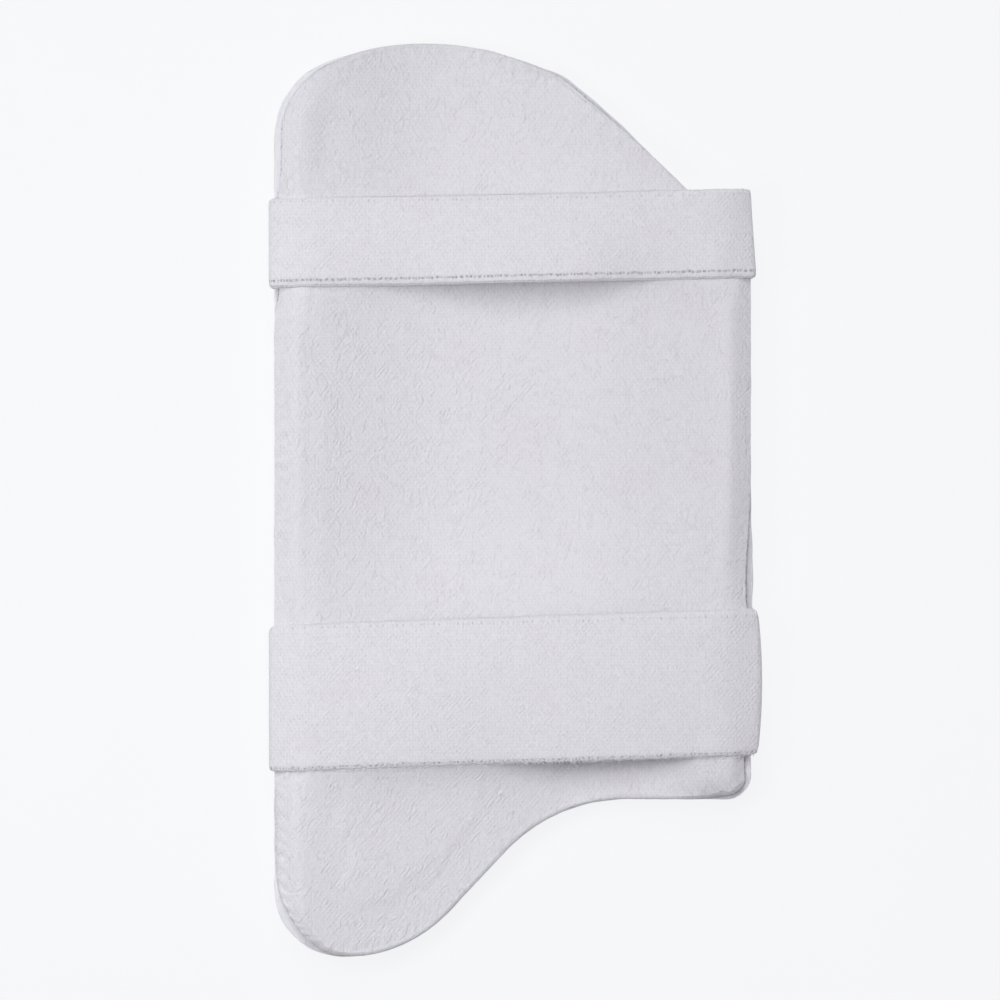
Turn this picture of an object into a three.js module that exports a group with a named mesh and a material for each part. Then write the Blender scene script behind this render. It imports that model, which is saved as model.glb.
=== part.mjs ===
// Cricket thigh pad, lying on its outer face with the side that goes against the leg up.
// Millimetres, +Z up, +Y towards the top of the pad. The origin lies on the resting surface,
// under the middle of the whole pad.

import * as THREE from 'three';

// Clearance between pieces that touch
const GAP = 0.3;

// Sides and ends of the whole outline
const SIDE_LEFT = -105.2;
const SIDE_RIGHT = 103.1;
const PAD_LOW = -200.0;
const PAD_HIGH = 200.0;

// Corners of the sewn edge, anticlockwise seen from above. Two straight edges would meet at
// x, y, and a round of the given radius joins them with `arcs` chords. The edge that follows
// the corner has `stations` points along it and is a long side or an end of the pad.
const CORNERS = [
  { name: 'lobe_left', x: SIDE_LEFT, y: PAD_LOW, radius: 30.6, arcs: 7, stations: 0, edge: 'end' },
  { name: 'lobe_right', x: -46.9, y: PAD_LOW, radius: 62.0, arcs: 6, stations: 1, edge: 'end' },
  { name: 'waist', x: 17.5, y: -131.0, radius: 74.0, arcs: 7, stations: 3, edge: 'end' },
  { name: 'lower_right', x: SIDE_RIGHT, y: -130.6, radius: 11.0, arcs: 4, stations: 8, edge: 'side' },
  { name: 'shoulder', x: SIDE_RIGHT, y: 107.2, radius: 26.0, arcs: 5, stations: 2, edge: 'end' },
  { name: 'slope', x: 42.4, y: 168.9, radius: 262.0, arcs: 4, stations: 0, edge: 'end' },
  { name: 'brow', x: 21.0, y: 186.4, radius: 35.0, arcs: 3, stations: 0, edge: 'end' },
  { name: 'crown', x: -36.0, y: 207.4, radius: 118.0, arcs: 5, stations: 0, edge: 'end' },
  { name: 'upper_left', x: SIDE_LEFT, y: 184.2, radius: 36.0, arcs: 6, stations: 10, edge: 'side' },
];
const SMALLEST_RADIUS = 1.5;

// How each panel falls to the sewn edge: the strip of sewn edge that shows beyond the panel,
// the width of the bevel, and how full the bevel is (1 is straight, 2 an ellipse).
const INNER_EDGE = {
  side: { strip: 1.2, bevel: 10.0, fullness: 1.25 },
  end: { strip: 0.8, bevel: 3.0, fullness: 2.2 },
};
const OUTER_EDGE = {
  side: { strip: 1.6, bevel: 15.0, fullness: 1.7 },
  end: { strip: 1.6, bevel: 10.0, fullness: 2.0 },
};

// Distance from a long side over which its bevel passes into that of the ends
const SIDE_REACH = { from: 12.0, to: 45.0 };

// Where the flat seam between the panels begins, inside the recess that holds the sewn edge
const SEAM_INSET = { side: 14.4, end: 7.3 };

// Heights. The pad is bent round the leg: every level rises with the distance from the middle.
const INNER_MIDDLE = 15.0;
const INNER_RIDGE = 28.0;
const RIDGE_AT = 92.0;
const SEAM_MIDDLE = 9.0;
const SEAM_SIDE = 18.4;
const SEAM_SIDE_AT = 104.0;
const REST_HALF_WIDTH = 24.0;
const OUTER_CURL = 0.0025;
const PANEL_NOSE = 0.8;

// Flat sewn edge
const BINDING_DEPTH = 5.0;
const BINDING_THICKNESS = 2.2;
const BINDING_ROUND = 0.7;

// Elastic straps: height of the middle line on the pad, width, rise per unit of length, how
// far the loop stands off the right side, and the width of the hook patch at the right end.
// Both hidden ends lie on the outer panel.
const STRAP_THICKNESS = 1.7;
const STRAP_FIT = 0.5;
const STRAP_LOOP = 1.6;
const STRAP_LEFT_END = -70.0;
const STRAP_RIGHT_END = 64.0;
const STRAPS = [
  { name: 'upper', middle: 115.2, width: 39.0, rise: 0.020, slack: 0.0, patch: 14.0 },
  { name: 'lower', middle: -82.7, width: 62.5, rise: 0.037, slack: 2.1, patch: 54.0 },
];

// Hook patches under the right ends of the straps
const PATCH_FROM = 66.0;
const PATCH_TO = 79.0;
const PATCH_THICKNESS = 1.0;
const PATCH_MARGIN = 4.0;
const PATCH_STEPS = 4;

// Line down the middle of the pad to which the faces' rings of points draw in
const SPINE = {
  low: new THREE.Vector2(-30, -95),
  high: new THREE.Vector2(-12, 130),
};

// Where the rings lie: shares of a bevel's width, and shares of the way to the spine
const BEVEL_STEPS = [0, 0.1, 0.28, 0.5, 0.75, 1];
const FACE_STEPS = [0.14, 0.3, 0.5, 0.72, 0.92];
const SEAM_STEPS = [0, 0.4, 0.92];
const CURL_STEPS = 4;

// Level of the face towards the leg, a shallow trough
function innerLevel(x) {
  return INNER_MIDDLE + (INNER_RIDGE - INNER_MIDDLE) * (x / RIDGE_AT) ** 2;
}

// Level of the face towards the ball, flat in the middle and curling up at the sides
function outerLevel(x) {
  return OUTER_CURL * Math.max(0, Math.abs(x) - REST_HALF_WIDTH) ** 2;
}

// Level at which the two panels are sewn together
function seamLevel(x) {
  return SEAM_MIDDLE + (SEAM_SIDE - SEAM_MIDDLE) * (x / SEAM_SIDE_AT) ** 2;
}

// Share of a bevel's height reached at a share of its width
function bevelRise(share, fullness) {
  return (1 - (1 - share) ** fullness) ** (1 / fullness);
}

// Point where two straight lines, each a point and a direction, cross
function crossing(pointA, alongA, pointB, alongB) {
  const between = pointB.clone().sub(pointA);
  const reach = between.cross(alongB) / alongA.cross(alongB);
  return pointA.clone().addScaledVector(alongA, reach);
}

// Corner table moved inwards, each edge by its own amount, with the rounds made to suit
function insetCorners(insetOf) {
  const count = CORNERS.length;
  const places = CORNERS.map((row) => new THREE.Vector2(row.x, row.y));
  const edges = CORNERS.map((row, index) => {
    const along = places[(index + 1) % count].clone().sub(places[index]).normalize();
    const inwards = new THREE.Vector2(-along.y, along.x);
    const inset = insetOf(row.edge);
    return { along, inset, point: places[index].clone().addScaledVector(inwards, inset) };
  });
  return CORNERS.map((row, index) => {
    const before = edges[(index + count - 1) % count];
    const after = edges[index];
    const turnsLeft = before.along.cross(after.along) > 0;
    const inset = Math.max(before.inset, after.inset);
    const radius = row.radius + (turnsLeft ? -inset : inset);
    return {
      place: crossing(before.point, before.along, after.point, after.along),
      radius: Math.max(radius, SMALLEST_RADIUS),
      arcs: row.arcs,
      stations: row.stations,
    };
  });
}

// Loop of points round the pad: rounded corners with the stations of the straight edges between
function outline(insetOf) {
  const corners = insetCorners(insetOf);
  const count = corners.length;
  const rounds = corners.map((corner, index) => {
    const before = corners[(index + count - 1) % count].place;
    const after = corners[(index + 1) % count].place;
    const arriving = corner.place.clone().sub(before).normalize();
    const leaving = after.clone().sub(corner.place).normalize();
    const turn = Math.atan2(arriving.cross(leaving), arriving.dot(leaving));
    const side = Math.sign(turn);
    const reach = corner.radius * Math.tan(Math.abs(turn) / 2);
    const start = corner.place.clone().addScaledVector(arriving, -reach);
    const inwards = new THREE.Vector2(-arriving.y, arriving.x);
    const centre = start.clone().addScaledVector(inwards, side * corner.radius);
    const points = [];
    for (let step = 0; step <= corner.arcs; step += 1) {
      points.push(start.clone().rotateAround(centre, (turn * step) / corner.arcs));
    }
    return points;
  });
  const loop = [];
  rounds.forEach((points, index) => {
    loop.push(...points);
    const from = points[points.length - 1];
    const to = rounds[(index + 1) % count][0];
    const stations = corners[index].stations;
    for (let step = 1; step <= stations; step += 1) {
      loop.push(from.clone().lerp(to, step / (stations + 1)));
    }
  });
  return loop;
}

// Loop drawn in towards the spine by a share of the way
function drawnIn(loop, share) {
  return loop.map((point) => {
    const height = (point.y - PAD_LOW) / (PAD_HIGH - PAD_LOW);
    const target = SPINE.low.clone().lerp(SPINE.high, height);
    return point.clone().lerp(target, share);
  });
}

// Flat loop lifted to its level in space
function lifted(loop, levelOf) {
  return loop.map((point, index) => new THREE.Vector3(point.x, point.y, levelOf(point.x, index)));
}

// Closed skin through a series of rings. The series is closed at both ends by a fan of faces
// round the ring's middle, or runs back into its first ring.
function skin(rings, endless = false) {
  const count = rings[0].length;
  const points = rings.flat();
  const indices = [];
  const spans = endless ? rings.length : rings.length - 1;
  for (let span = 0; span < spans; span += 1) {
    const here = span * count;
    const next = ((span + 1) % rings.length) * count;
    for (let step = 0; step < count; step += 1) {
      const after = (step + 1) % count;
      indices.push(here + step, next + step, next + after);
      indices.push(here + step, next + after, here + after);
    }
  }
  if (!endless) {
    const last = (rings.length - 1) * count;
    const firstMiddle = points.push(middleOf(rings[0])) - 1;
    const lastMiddle = points.push(middleOf(rings[rings.length - 1])) - 1;
    for (let step = 0; step < count; step += 1) {
      const after = (step + 1) % count;
      indices.push(step, after, firstMiddle);
      indices.push(last + after, last + step, lastMiddle);
    }
  }
  const geometry = new THREE.BufferGeometry();
  geometry.setFromPoints(points);
  geometry.setIndex(indices);
  geometry.computeVertexNormals();
  return geometry;
}

// Middle of a ring of points
function middleOf(ring) {
  const sum = new THREE.Vector3();
  ring.forEach((point) => sum.add(point));
  return sum.divideScalar(ring.length);
}

// Rings of one padded panel from the middle of its face, over the bevel to the sewn edge, round
// the recess that holds the binding, and back along the seam. `up` is 1 for the panel towards
// the leg and -1 for the one below it.
function panelRings(edgeTable, faceLevel, up) {
  const edgeLoop = (share) => outline((edge) => edgeTable[edge].strip + share * edgeTable[edge].bevel);
  const ridge = edgeLoop(1);
  const rim = edgeLoop(0);
  const rimOffset = up * (BINDING_THICKNESS / 2 + GAP);
  const fullness = ridge.map((point) => fullnessAt(point, edgeTable));
  const face = FACE_STEPS.map((share) => lifted(drawnIn(ridge, share), faceLevel)).reverse();
  const bevel = BEVEL_STEPS.map((share) =>
    lifted(edgeLoop(share), (x, index) => {
      const low = seamLevel(rim[index].x) + rimOffset + up * PANEL_NOSE;
      const high = faceLevel(ridge[index].x);
      return low + (high - low) * bevelRise(share, fullness[index]);
    }),
  ).reverse();
  const recess = outline(() => BINDING_DEPTH + GAP);
  const seamCore = outline((edge) => SEAM_INSET[edge]);
  const underside = [
    lifted(rim, (x) => seamLevel(x) + rimOffset),
    lifted(recess, (x) => seamLevel(x) + rimOffset),
    lifted(recess, (x) => seamLevel(x) + (up * GAP) / 2),
    ...SEAM_STEPS.map((share) => lifted(drawnIn(seamCore, share), (x) => seamLevel(x) + (up * GAP) / 2)),
  ];
  const rings = [...face, ...bevel, ...underside];
  return up > 0 ? rings : rings.reverse();
}

// Fullness of the bevel at a point: the side's value near a long side, passing into the end's
function fullnessAt(point, edgeTable) {
  const fromSide = Math.min(point.x - SIDE_LEFT, SIDE_RIGHT - point.x);
  const share = THREE.MathUtils.smoothstep(fromSide, SIDE_REACH.from, SIDE_REACH.to);
  return THREE.MathUtils.lerp(edgeTable.side.fullness, edgeTable.end.fullness, share);
}

// Section of the sewn edge: inset from the outline and height above the seam
function bindingProfile() {
  const half = BINDING_THICKNESS / 2;
  return [
    { inset: BINDING_DEPTH, height: half },
    { inset: BINDING_ROUND, height: half },
    { inset: 0, height: half - BINDING_ROUND },
    { inset: 0, height: BINDING_ROUND - half },
    { inset: BINDING_ROUND, height: -half },
    { inset: BINDING_DEPTH, height: -half },
  ];
}

// Rings of the sewn edge, which follows the seam all round
function bindingRings() {
  return bindingProfile().map(({ inset, height }) =>
    lifted(outline(() => inset), (x) => seamLevel(x) + height),
  );
}

// Section of the pad across one long side, from the ridge round to the resting face, as points
// in X and Z
function sideSection(side, toward) {
  const points = [];
  const bevelOf = (row, faceLevel, up) => {
    const ridgeX = side - toward * (row.strip + row.bevel);
    const rimX = side - toward * row.strip;
    const low = seamLevel(rimX) + up * (BINDING_THICKNESS / 2 + GAP + PANEL_NOSE);
    const high = faceLevel(ridgeX);
    BEVEL_STEPS.forEach((share) => {
      const x = rimX - toward * share * row.bevel;
      points.push(new THREE.Vector2(x, low + (high - low) * bevelRise(share, row.fullness)));
    });
    return ridgeX;
  };
  bevelOf(INNER_EDGE.side, innerLevel, 1);
  bindingProfile().forEach(({ inset, height }) => {
    points.push(new THREE.Vector2(side - toward * inset, seamLevel(side) + height));
  });
  const toe = bevelOf(OUTER_EDGE.side, outerLevel, -1);
  for (let step = 1; step <= CURL_STEPS; step += 1) {
    const x = THREE.MathUtils.lerp(toe, toward * REST_HALF_WIDTH, step / CURL_STEPS);
    points.push(new THREE.Vector2(x, outerLevel(x)));
  }
  return points;
}

// Convex loop round a set of points in a plane, anticlockwise
function hull(points) {
  const sorted = [...points].sort((a, b) => a.x - b.x || a.y - b.y);
  const half = (list) => {
    const chain = [];
    list.forEach((point) => {
      while (chain.length > 1) {
        const last = chain[chain.length - 1];
        const previous = chain[chain.length - 2];
        if (last.clone().sub(previous).cross(point.clone().sub(last)) > 1e-6) {
          break;
        }
        chain.pop();
      }
      chain.push(point);
    });
    return chain.slice(0, -1);
  };
  return [...half(sorted), ...half(sorted.reverse())];
}

// Levels of a hook patch, its two faces
function patchLevels(x) {
  const top = outerLevel(x) - GAP;
  return { top, bottom: top - PATCH_THICKNESS };
}

// Way of a strap round the pad, as points in X and Z with the outward direction at each: it is
// pulled tight over the section, from its left end under the pad, over the leg side, to its
// right end under the pad
function strapWay(strap) {
  const section = [
    ...sideSection(SIDE_LEFT, -1),
    ...sideSection(SIDE_RIGHT, 1),
    new THREE.Vector2(SIDE_RIGHT + strap.slack, seamLevel(SIDE_RIGHT) + STRAP_LOOP / 2),
    new THREE.Vector2(SIDE_RIGHT + strap.slack, seamLevel(SIDE_RIGHT) - STRAP_LOOP / 2),
    new THREE.Vector2(PATCH_FROM, patchLevels(PATCH_FROM).bottom),
    new THREE.Vector2(PATCH_TO, patchLevels(PATCH_TO).bottom),
    new THREE.Vector2(STRAP_LEFT_END, outerLevel(STRAP_LEFT_END)),
    new THREE.Vector2(STRAP_RIGHT_END, patchLevels(STRAP_RIGHT_END).bottom),
  ];
  const loop = hull(section);
  const corners = loop.map((point, index) => {
    const before = loop[(index + loop.length - 1) % loop.length];
    const after = loop[(index + 1) % loop.length];
    const arriving = point.clone().sub(before).normalize();
    const leaving = after.clone().sub(point).normalize();
    const outwards = new THREE.Vector2(arriving.y + leaving.y, -arriving.x - leaving.x).normalize();
    const stretch = 1 / outwards.dot(new THREE.Vector2(arriving.y, -arriving.x));
    return { point, outwards, stretch };
  });
  const first = corners.findIndex(({ point }) => point.x === STRAP_RIGHT_END);
  const turned = [...corners.slice(first), ...corners.slice(0, first)];
  const last = turned.findIndex(({ point }) => point.x === STRAP_LEFT_END);
  return turned.slice(0, last + 1).reverse();
}

// Rings of a strap: its flat section carried along its way, climbing as it goes
function strapRings(strap) {
  const way = strapWay(strap);
  const lengths = [0];
  way.slice(1).forEach(({ point }, index) => {
    lengths.push(lengths[index] + point.distanceTo(way[index].point));
  });
  const middle = lengths[lengths.length - 1] / 2;
  return way.map(({ point, outwards, stretch }, index) => {
    const inner = point.clone().addScaledVector(outwards, STRAP_FIT * stretch);
    const outer = point.clone().addScaledVector(outwards, (STRAP_FIT + STRAP_THICKNESS) * stretch);
    const centre = strap.middle + strap.rise * (lengths[index] - middle);
    const low = centre - strap.width / 2;
    const high = centre + strap.width / 2;
    return [
      new THREE.Vector3(outer.x, low, outer.y),
      new THREE.Vector3(outer.x, high, outer.y),
      new THREE.Vector3(inner.x, high, inner.y),
      new THREE.Vector3(inner.x, low, inner.y),
    ];
  });
}

// Rings of a hook patch across the strap, following the curl of the outer panel
function patchRings(strap) {
  const rings = [];
  const centre = strap.middle + strap.rise * SIDE_RIGHT;
  const low = centre - strap.width / 2 + PATCH_MARGIN;
  const high = low + strap.patch;
  for (let step = 0; step <= PATCH_STEPS; step += 1) {
    const x = THREE.MathUtils.lerp(PATCH_FROM, PATCH_TO, step / PATCH_STEPS);
    const { top, bottom } = patchLevels(x);
    rings.push([
      new THREE.Vector3(x, low, top),
      new THREE.Vector3(x, high, top),
      new THREE.Vector3(x, high, bottom),
      new THREE.Vector3(x, low, bottom),
    ]);
  }
  return rings;
}

// Finishes
const COTTON = { color: '#e3e2e7', roughness: 0.92, metalness: 0 };
const ELASTIC = { color: '#e2e1e6', roughness: 0.88, metalness: 0 };
const HOOK_TAPE = { color: '#dddce0', roughness: 0.7, metalness: 0 };

function piece(name, geometry, finish) {
  const mesh = new THREE.Mesh(geometry, new THREE.MeshStandardMaterial(finish));
  mesh.name = name;
  return mesh;
}

const pad = new THREE.Group();
pad.name = 'thigh_pad';
pad.add(piece('inner_panel', skin(panelRings(INNER_EDGE, innerLevel, 1)), COTTON));
pad.add(piece('outer_panel', skin(panelRings(OUTER_EDGE, outerLevel, -1)), COTTON));
pad.add(piece('edge_binding', skin(bindingRings(), true), COTTON));
STRAPS.forEach((strap) => {
  pad.add(piece(`${strap.name}_strap`, skin(strapRings(strap)), ELASTIC));
  pad.add(piece(`${strap.name}_hook_patch`, skin(patchRings(strap)), HOOK_TAPE));
});

export default pad;
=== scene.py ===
"""Looks of a cricket thigh pad: crinkled cotton panels, a sewn edge and two elastic straps.

The pad lies on its outer face with the side that goes against the leg up. Shapes are worked out in
millimetres with numpy and put into meshes in metres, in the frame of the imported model.
"""

import logging
import math
from dataclasses import dataclass, field
from enum import Enum

import bmesh
import bpy
import numpy as np
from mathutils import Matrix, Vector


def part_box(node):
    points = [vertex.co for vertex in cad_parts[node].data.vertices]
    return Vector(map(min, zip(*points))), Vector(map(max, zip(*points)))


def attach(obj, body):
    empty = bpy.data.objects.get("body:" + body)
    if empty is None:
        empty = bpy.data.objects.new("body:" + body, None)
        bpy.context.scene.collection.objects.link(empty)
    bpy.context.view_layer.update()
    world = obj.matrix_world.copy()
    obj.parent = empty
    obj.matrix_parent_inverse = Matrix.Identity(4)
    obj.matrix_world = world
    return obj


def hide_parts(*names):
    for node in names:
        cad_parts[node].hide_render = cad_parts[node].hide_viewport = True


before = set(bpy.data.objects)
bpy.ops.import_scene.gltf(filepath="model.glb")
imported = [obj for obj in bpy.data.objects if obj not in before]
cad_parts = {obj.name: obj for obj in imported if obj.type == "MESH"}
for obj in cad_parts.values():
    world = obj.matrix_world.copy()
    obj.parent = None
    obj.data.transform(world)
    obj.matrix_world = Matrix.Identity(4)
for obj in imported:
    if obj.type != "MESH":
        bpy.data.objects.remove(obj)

MM = 0.001
SQUARE_CM = 100.0
WELD_REACH = 0.002
TINY = 1e-9
BODY = "root"
WARM_TINT = (1.0, 0.986, 0.993, 1.0)
COOL_TINT = (0.988, 0.993, 1.0, 1.0)
WEAVE_PITCH = 0.0013675
GRAIN_LIE = -74.0
GRAIN_STRETCH = (0.58, 1.22, 1.0)
LOOP_SIZES = {"Course": 0.002156, "Wale": 0.0035, "Turn": 0.002328}

log = logging.getLogger("thigh_pad")

Array = np.ndarray
Triple = tuple[float, float, float]
Socket = bpy.types.NodeSocket
Tree = bpy.types.NodeTree
Piece = bpy.types.Object
Material = bpy.types.Material


class EdgeKind(Enum):
    """What an edge of the outline is: a long side that lies along the leg, or an end."""

    SIDE = "side"
    END = "end"


class Facing(Enum):
    """Which way a panel's padded face looks, as the sign of its height."""

    LEG = 1
    BALL = -1


def smooth_share(value: Array, start: float, end: float) -> Array:
    """Share of the way from start to end, eased at both ends: 3t^2 - 2t^3.

    Args:
        value: Places along the way.
        start: Place where the share is 0.
        end: Place where the share is 1.

    Returns:
        Shares from 0 to 1.
    """
    t = np.clip((value - start) / (end - start), 0.0, 1.0)
    return t * t * (3.0 - 2.0 * t)


def hump(distance: Array, reach: float) -> Array:
    """Bell that is 1 at no distance and fades over the reach: exp(-(d / reach)^2)."""
    return np.exp(-((distance / reach) ** 2))


def cross2(a: Array, b: Array) -> Array:
    """Cross product of plane vectors: ax * by - ay * bx."""
    return a[..., 0] * b[..., 1] - a[..., 1] * b[..., 0]


def unit(vectors: Array) -> Array:
    """Vectors brought to length 1."""
    return vectors / np.linalg.norm(vectors, axis=-1, keepdims=True)


def wander(lengths: Array, waves: tuple[float, ...], seed: int) -> Array:
    """Uneven line: a sum of sines of the given wavelengths with seeded phases, within about -1 to 1.

    Args:
        lengths: Places along the line, in millimetres.
        waves: Wavelengths, in millimetres.
        seed: Seed of the phases and weights.

    Returns:
        One value for each place.
    """
    draws = np.random.default_rng(seed)
    phases = draws.uniform(0.0, 2.0 * math.pi, len(waves))
    weights = draws.uniform(0.6, 1.0, len(waves))
    turns = 2.0 * math.pi * np.asarray(lengths)[..., None] / np.array(waves) + phases
    return (np.sin(turns) * weights).sum(axis=-1) / weights.sum()


def grid_faces(ids: Array, loop_rows: bool = False, loop_columns: bool = False) -> Array:
    """Four-sided faces between neighbouring rows and columns of a grid of vertex numbers.

    Args:
        ids: Vertex numbers, rows by columns.
        loop_rows: Whether the last row joins the first.
        loop_columns: Whether the last column joins the first.

    Returns:
        Faces as rows of four vertex numbers.
    """
    if loop_rows:
        ids = np.concatenate((ids, ids[:1]), axis=0)
    if loop_columns:
        ids = np.concatenate((ids, ids[:, :1]), axis=1)
    corners = (ids[:-1, :-1], ids[:-1, 1:], ids[1:, 1:], ids[1:, :-1])
    return np.stack(corners, axis=-1).reshape(-1, 4)


def faces_outward(points: Array, faces: Array) -> Array:
    """Faces turned so that a closed shell holds a positive volume: the sum of p . (q x r) / 6.

    Args:
        points: Vertices.
        faces: Four-sided faces.

    Returns:
        The faces, all reversed if the shell was inside out.
    """
    a, b, c, d = (points[faces[:, k]] for k in range(4))
    volume = np.einsum("ij,ij->", a, np.cross(b, c)) + np.einsum("ij,ij->", a, np.cross(c, d))
    return faces if volume > 0 else faces[:, ::-1]


def put_mesh(
    name: str, points: Array, faces: Array, layers: dict[str, Array] | None = None
) -> Piece:
    """Puts a surface into a new object at the origin.

    Args:
        name: Name of the object.
        points: Vertices in millimetres.
        faces: Four-sided faces.
        layers: Values to keep for each vertex, by attribute name.

    Returns:
        The object, linked to the scene and shaded smooth.
    """
    mesh = bpy.data.meshes.new(name)
    mesh.vertices.add(len(points))
    mesh.vertices.foreach_set("co", (points * MM).astype(np.float32).ravel())
    mesh.loops.add(faces.size)
    mesh.loops.foreach_set("vertex_index", np.ascontiguousarray(faces, dtype=np.int32).ravel())
    mesh.polygons.add(len(faces))
    mesh.polygons.foreach_set("loop_start", np.arange(0, faces.size, 4, dtype=np.int32))
    mesh.update(calc_edges=True)
    mesh.validate()
    mesh.shade_smooth()
    for layer, values in (layers or {}).items():
        attribute = mesh.attributes.new(layer, "FLOAT", "POINT")
        attribute.data.foreach_set("value", np.asarray(values, dtype=np.float32).ravel())
    piece = bpy.data.objects.new(name, mesh)
    bpy.context.scene.collection.objects.link(piece)
    return piece


def vertex_normals(mesh: bpy.types.Mesh) -> Array:
    """Outward direction at each vertex of a mesh."""
    normals = np.empty(len(mesh.vertices) * 3, dtype=np.float32)
    mesh.vertex_normals.foreach_get("vector", normals)
    return normals.reshape(-1, 3).astype(float)


def read_points(mesh: bpy.types.Mesh) -> Array:
    """Vertices of a mesh in millimetres."""
    points = np.empty(len(mesh.vertices) * 3, dtype=np.float32)
    mesh.vertices.foreach_get("co", points)
    return points.reshape(-1, 3).astype(float) / MM


def hand_over(piece: Piece, nodes: tuple[str, ...] = ()) -> None:
    """Tells the frame what a finished piece rides on and the solids it stands for.

    Args:
        piece: Finished piece.
        nodes: Names of the solids that it replaces.
    """
    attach(piece, BODY)
    if nodes:
        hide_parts(*nodes)
    log.info("%s: %d faces", piece.name, len(piece.data.polygons))


# Outline of the pad


@dataclass(frozen=True)
class Corner:
    """Corner of the sewn edge: where two straight edges would meet, and the round between them.

    The edge that follows the corner, anticlockwise from above, is a long side or an end.
    """

    x: float
    y: float
    radius: float
    follows: EdgeKind


@dataclass(frozen=True)
class PadOutline:
    """Closed outline of the sewn edge, which can be drawn inwards by any amount."""

    left: float = -105.2
    right: float = 103.1
    low: float = -200.0
    smallest_radius: float = 1.5
    foot_at: float = 1.5
    crown_at: float = 14.5

    @property
    def corners(self) -> tuple[Corner, ...]:
        """Corners from the lower left, anticlockwise."""
        side, end = EdgeKind.SIDE, EdgeKind.END
        return (
            Corner(self.left, self.low, 30.6, end),
            Corner(-46.9, self.low, 62.0, end),
            Corner(17.5, -131.4, 74.0, end),
            Corner(self.right, -131.0, 11.0, side),
            Corner(self.right, 107.2, 26.0, end),
            Corner(42.4, 168.9, 262.0, end),
            Corner(21.0, 186.4, 35.0, end),
            Corner(-36.0, 207.4, 118.0, end),
            Corner(self.left, 184.2, 36.0, side),
        )

    def ring(self, at: Array, side_inset: float, end_inset: float) -> Array:
        """Points of the outline after its sides and ends move inwards.

        Each straight edge moves along its own inward normal, neighbours meet again in new corners,
        and an arc tangent to both rounds each corner. Place 2k to 2k + 1 runs along the arc of
        corner k, and 2k + 1 to 2k + 2 along the edge that follows it.

        Args:
            at: Places along the outline.
            side_inset: How far the long sides move inwards.
            end_inset: How far the ends move inwards.

        Returns:
            Points in the plane, one row for each place.
        """
        corners = self.corners
        places = np.array([(c.x, c.y) for c in corners])
        insets = np.array([side_inset if c.follows is EdgeKind.SIDE else end_inset for c in corners])
        along = unit(np.roll(places, -1, axis=0) - places)
        points = places + np.stack((-along[:, 1], along[:, 0]), axis=1) * insets[:, None]
        arriving, arriving_point = np.roll(along, 1, axis=0), np.roll(points, 1, axis=0)
        reach = cross2(points - arriving_point, along) / cross2(arriving, along)
        met = arriving_point + arriving * reach[:, None]
        turn = np.arctan2(cross2(arriving, along), (arriving * along).sum(axis=1))
        widest = np.maximum(insets, np.roll(insets, 1))
        radius = np.array([c.radius for c in corners]) - np.sign(turn) * widest
        radius = np.maximum(radius, self.smallest_radius)
        tangent = (radius * np.tan(np.abs(turn) / 2.0))[:, None]
        begin, finish = met - arriving * tangent, met + along * tangent
        across = np.stack((-arriving[:, 1], arriving[:, 0]), axis=1)
        centre = begin + across * (np.sign(turn) * radius)[:, None]
        index = (at // 2).astype(int) % len(corners)
        share = at - 2.0 * (at // 2)
        angle = turn[index] * np.minimum(share, 1.0)
        arm = begin[index] - centre[index]
        swung = np.stack(
            (
                arm[:, 0] * np.cos(angle) - arm[:, 1] * np.sin(angle),
                arm[:, 0] * np.sin(angle) + arm[:, 1] * np.cos(angle),
            ),
            axis=1,
        )
        run = np.clip(share - 1.0, 0.0, 1.0)[:, None]
        straight = finish[index] * (1.0 - run) + begin[(index + 1) % len(corners)] * run
        return np.where((share < 1.0)[:, None], centre[index] + swung, straight)

    def lengths(self, fine: int = 8000) -> tuple[Array, Array]:
        """Places along the outline and the length of edge up to each, closed at the end."""
        at = np.linspace(0.0, 2.0 * len(self.corners), fine + 1)
        loop = self.ring(at % (2.0 * len(self.corners)), 0.0, 0.0)
        steps = np.linalg.norm(np.diff(loop, axis=0), axis=1)
        return at, np.concatenate(([0.0], np.cumsum(steps)))

    def columns(self, half: int) -> tuple[Array, Array]:
        """Evenly spaced places: half up the right from the foot to the crown, half down the left.

        Args:
            half: Number of steps on each half.

        Returns:
            Places along the outline, and the length of edge from the foot to each.
        """
        at, length = self.lengths()
        total = length[-1]
        foot, crown = np.interp((self.foot_at, self.crown_at), at, length)
        share = np.arange(half) / half
        run = np.concatenate((foot + (crown - foot) * share, crown + (foot + total - crown) * share))
        return np.interp(run % total, length, at), run - foot

    def inward(self, at: Array) -> Array:
        """Direction straight into the pad at places along the outline."""
        small = 0.002
        whole = 2.0 * len(self.corners)
        ahead = self.ring((at + small) % whole, 0.0, 0.0) - self.ring((at - small) % whole, 0.0, 0.0)
        ahead = unit(ahead)
        return np.stack((-ahead[:, 1], ahead[:, 0]), axis=1)


# Levels of the pad, which is bent round the leg


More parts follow.
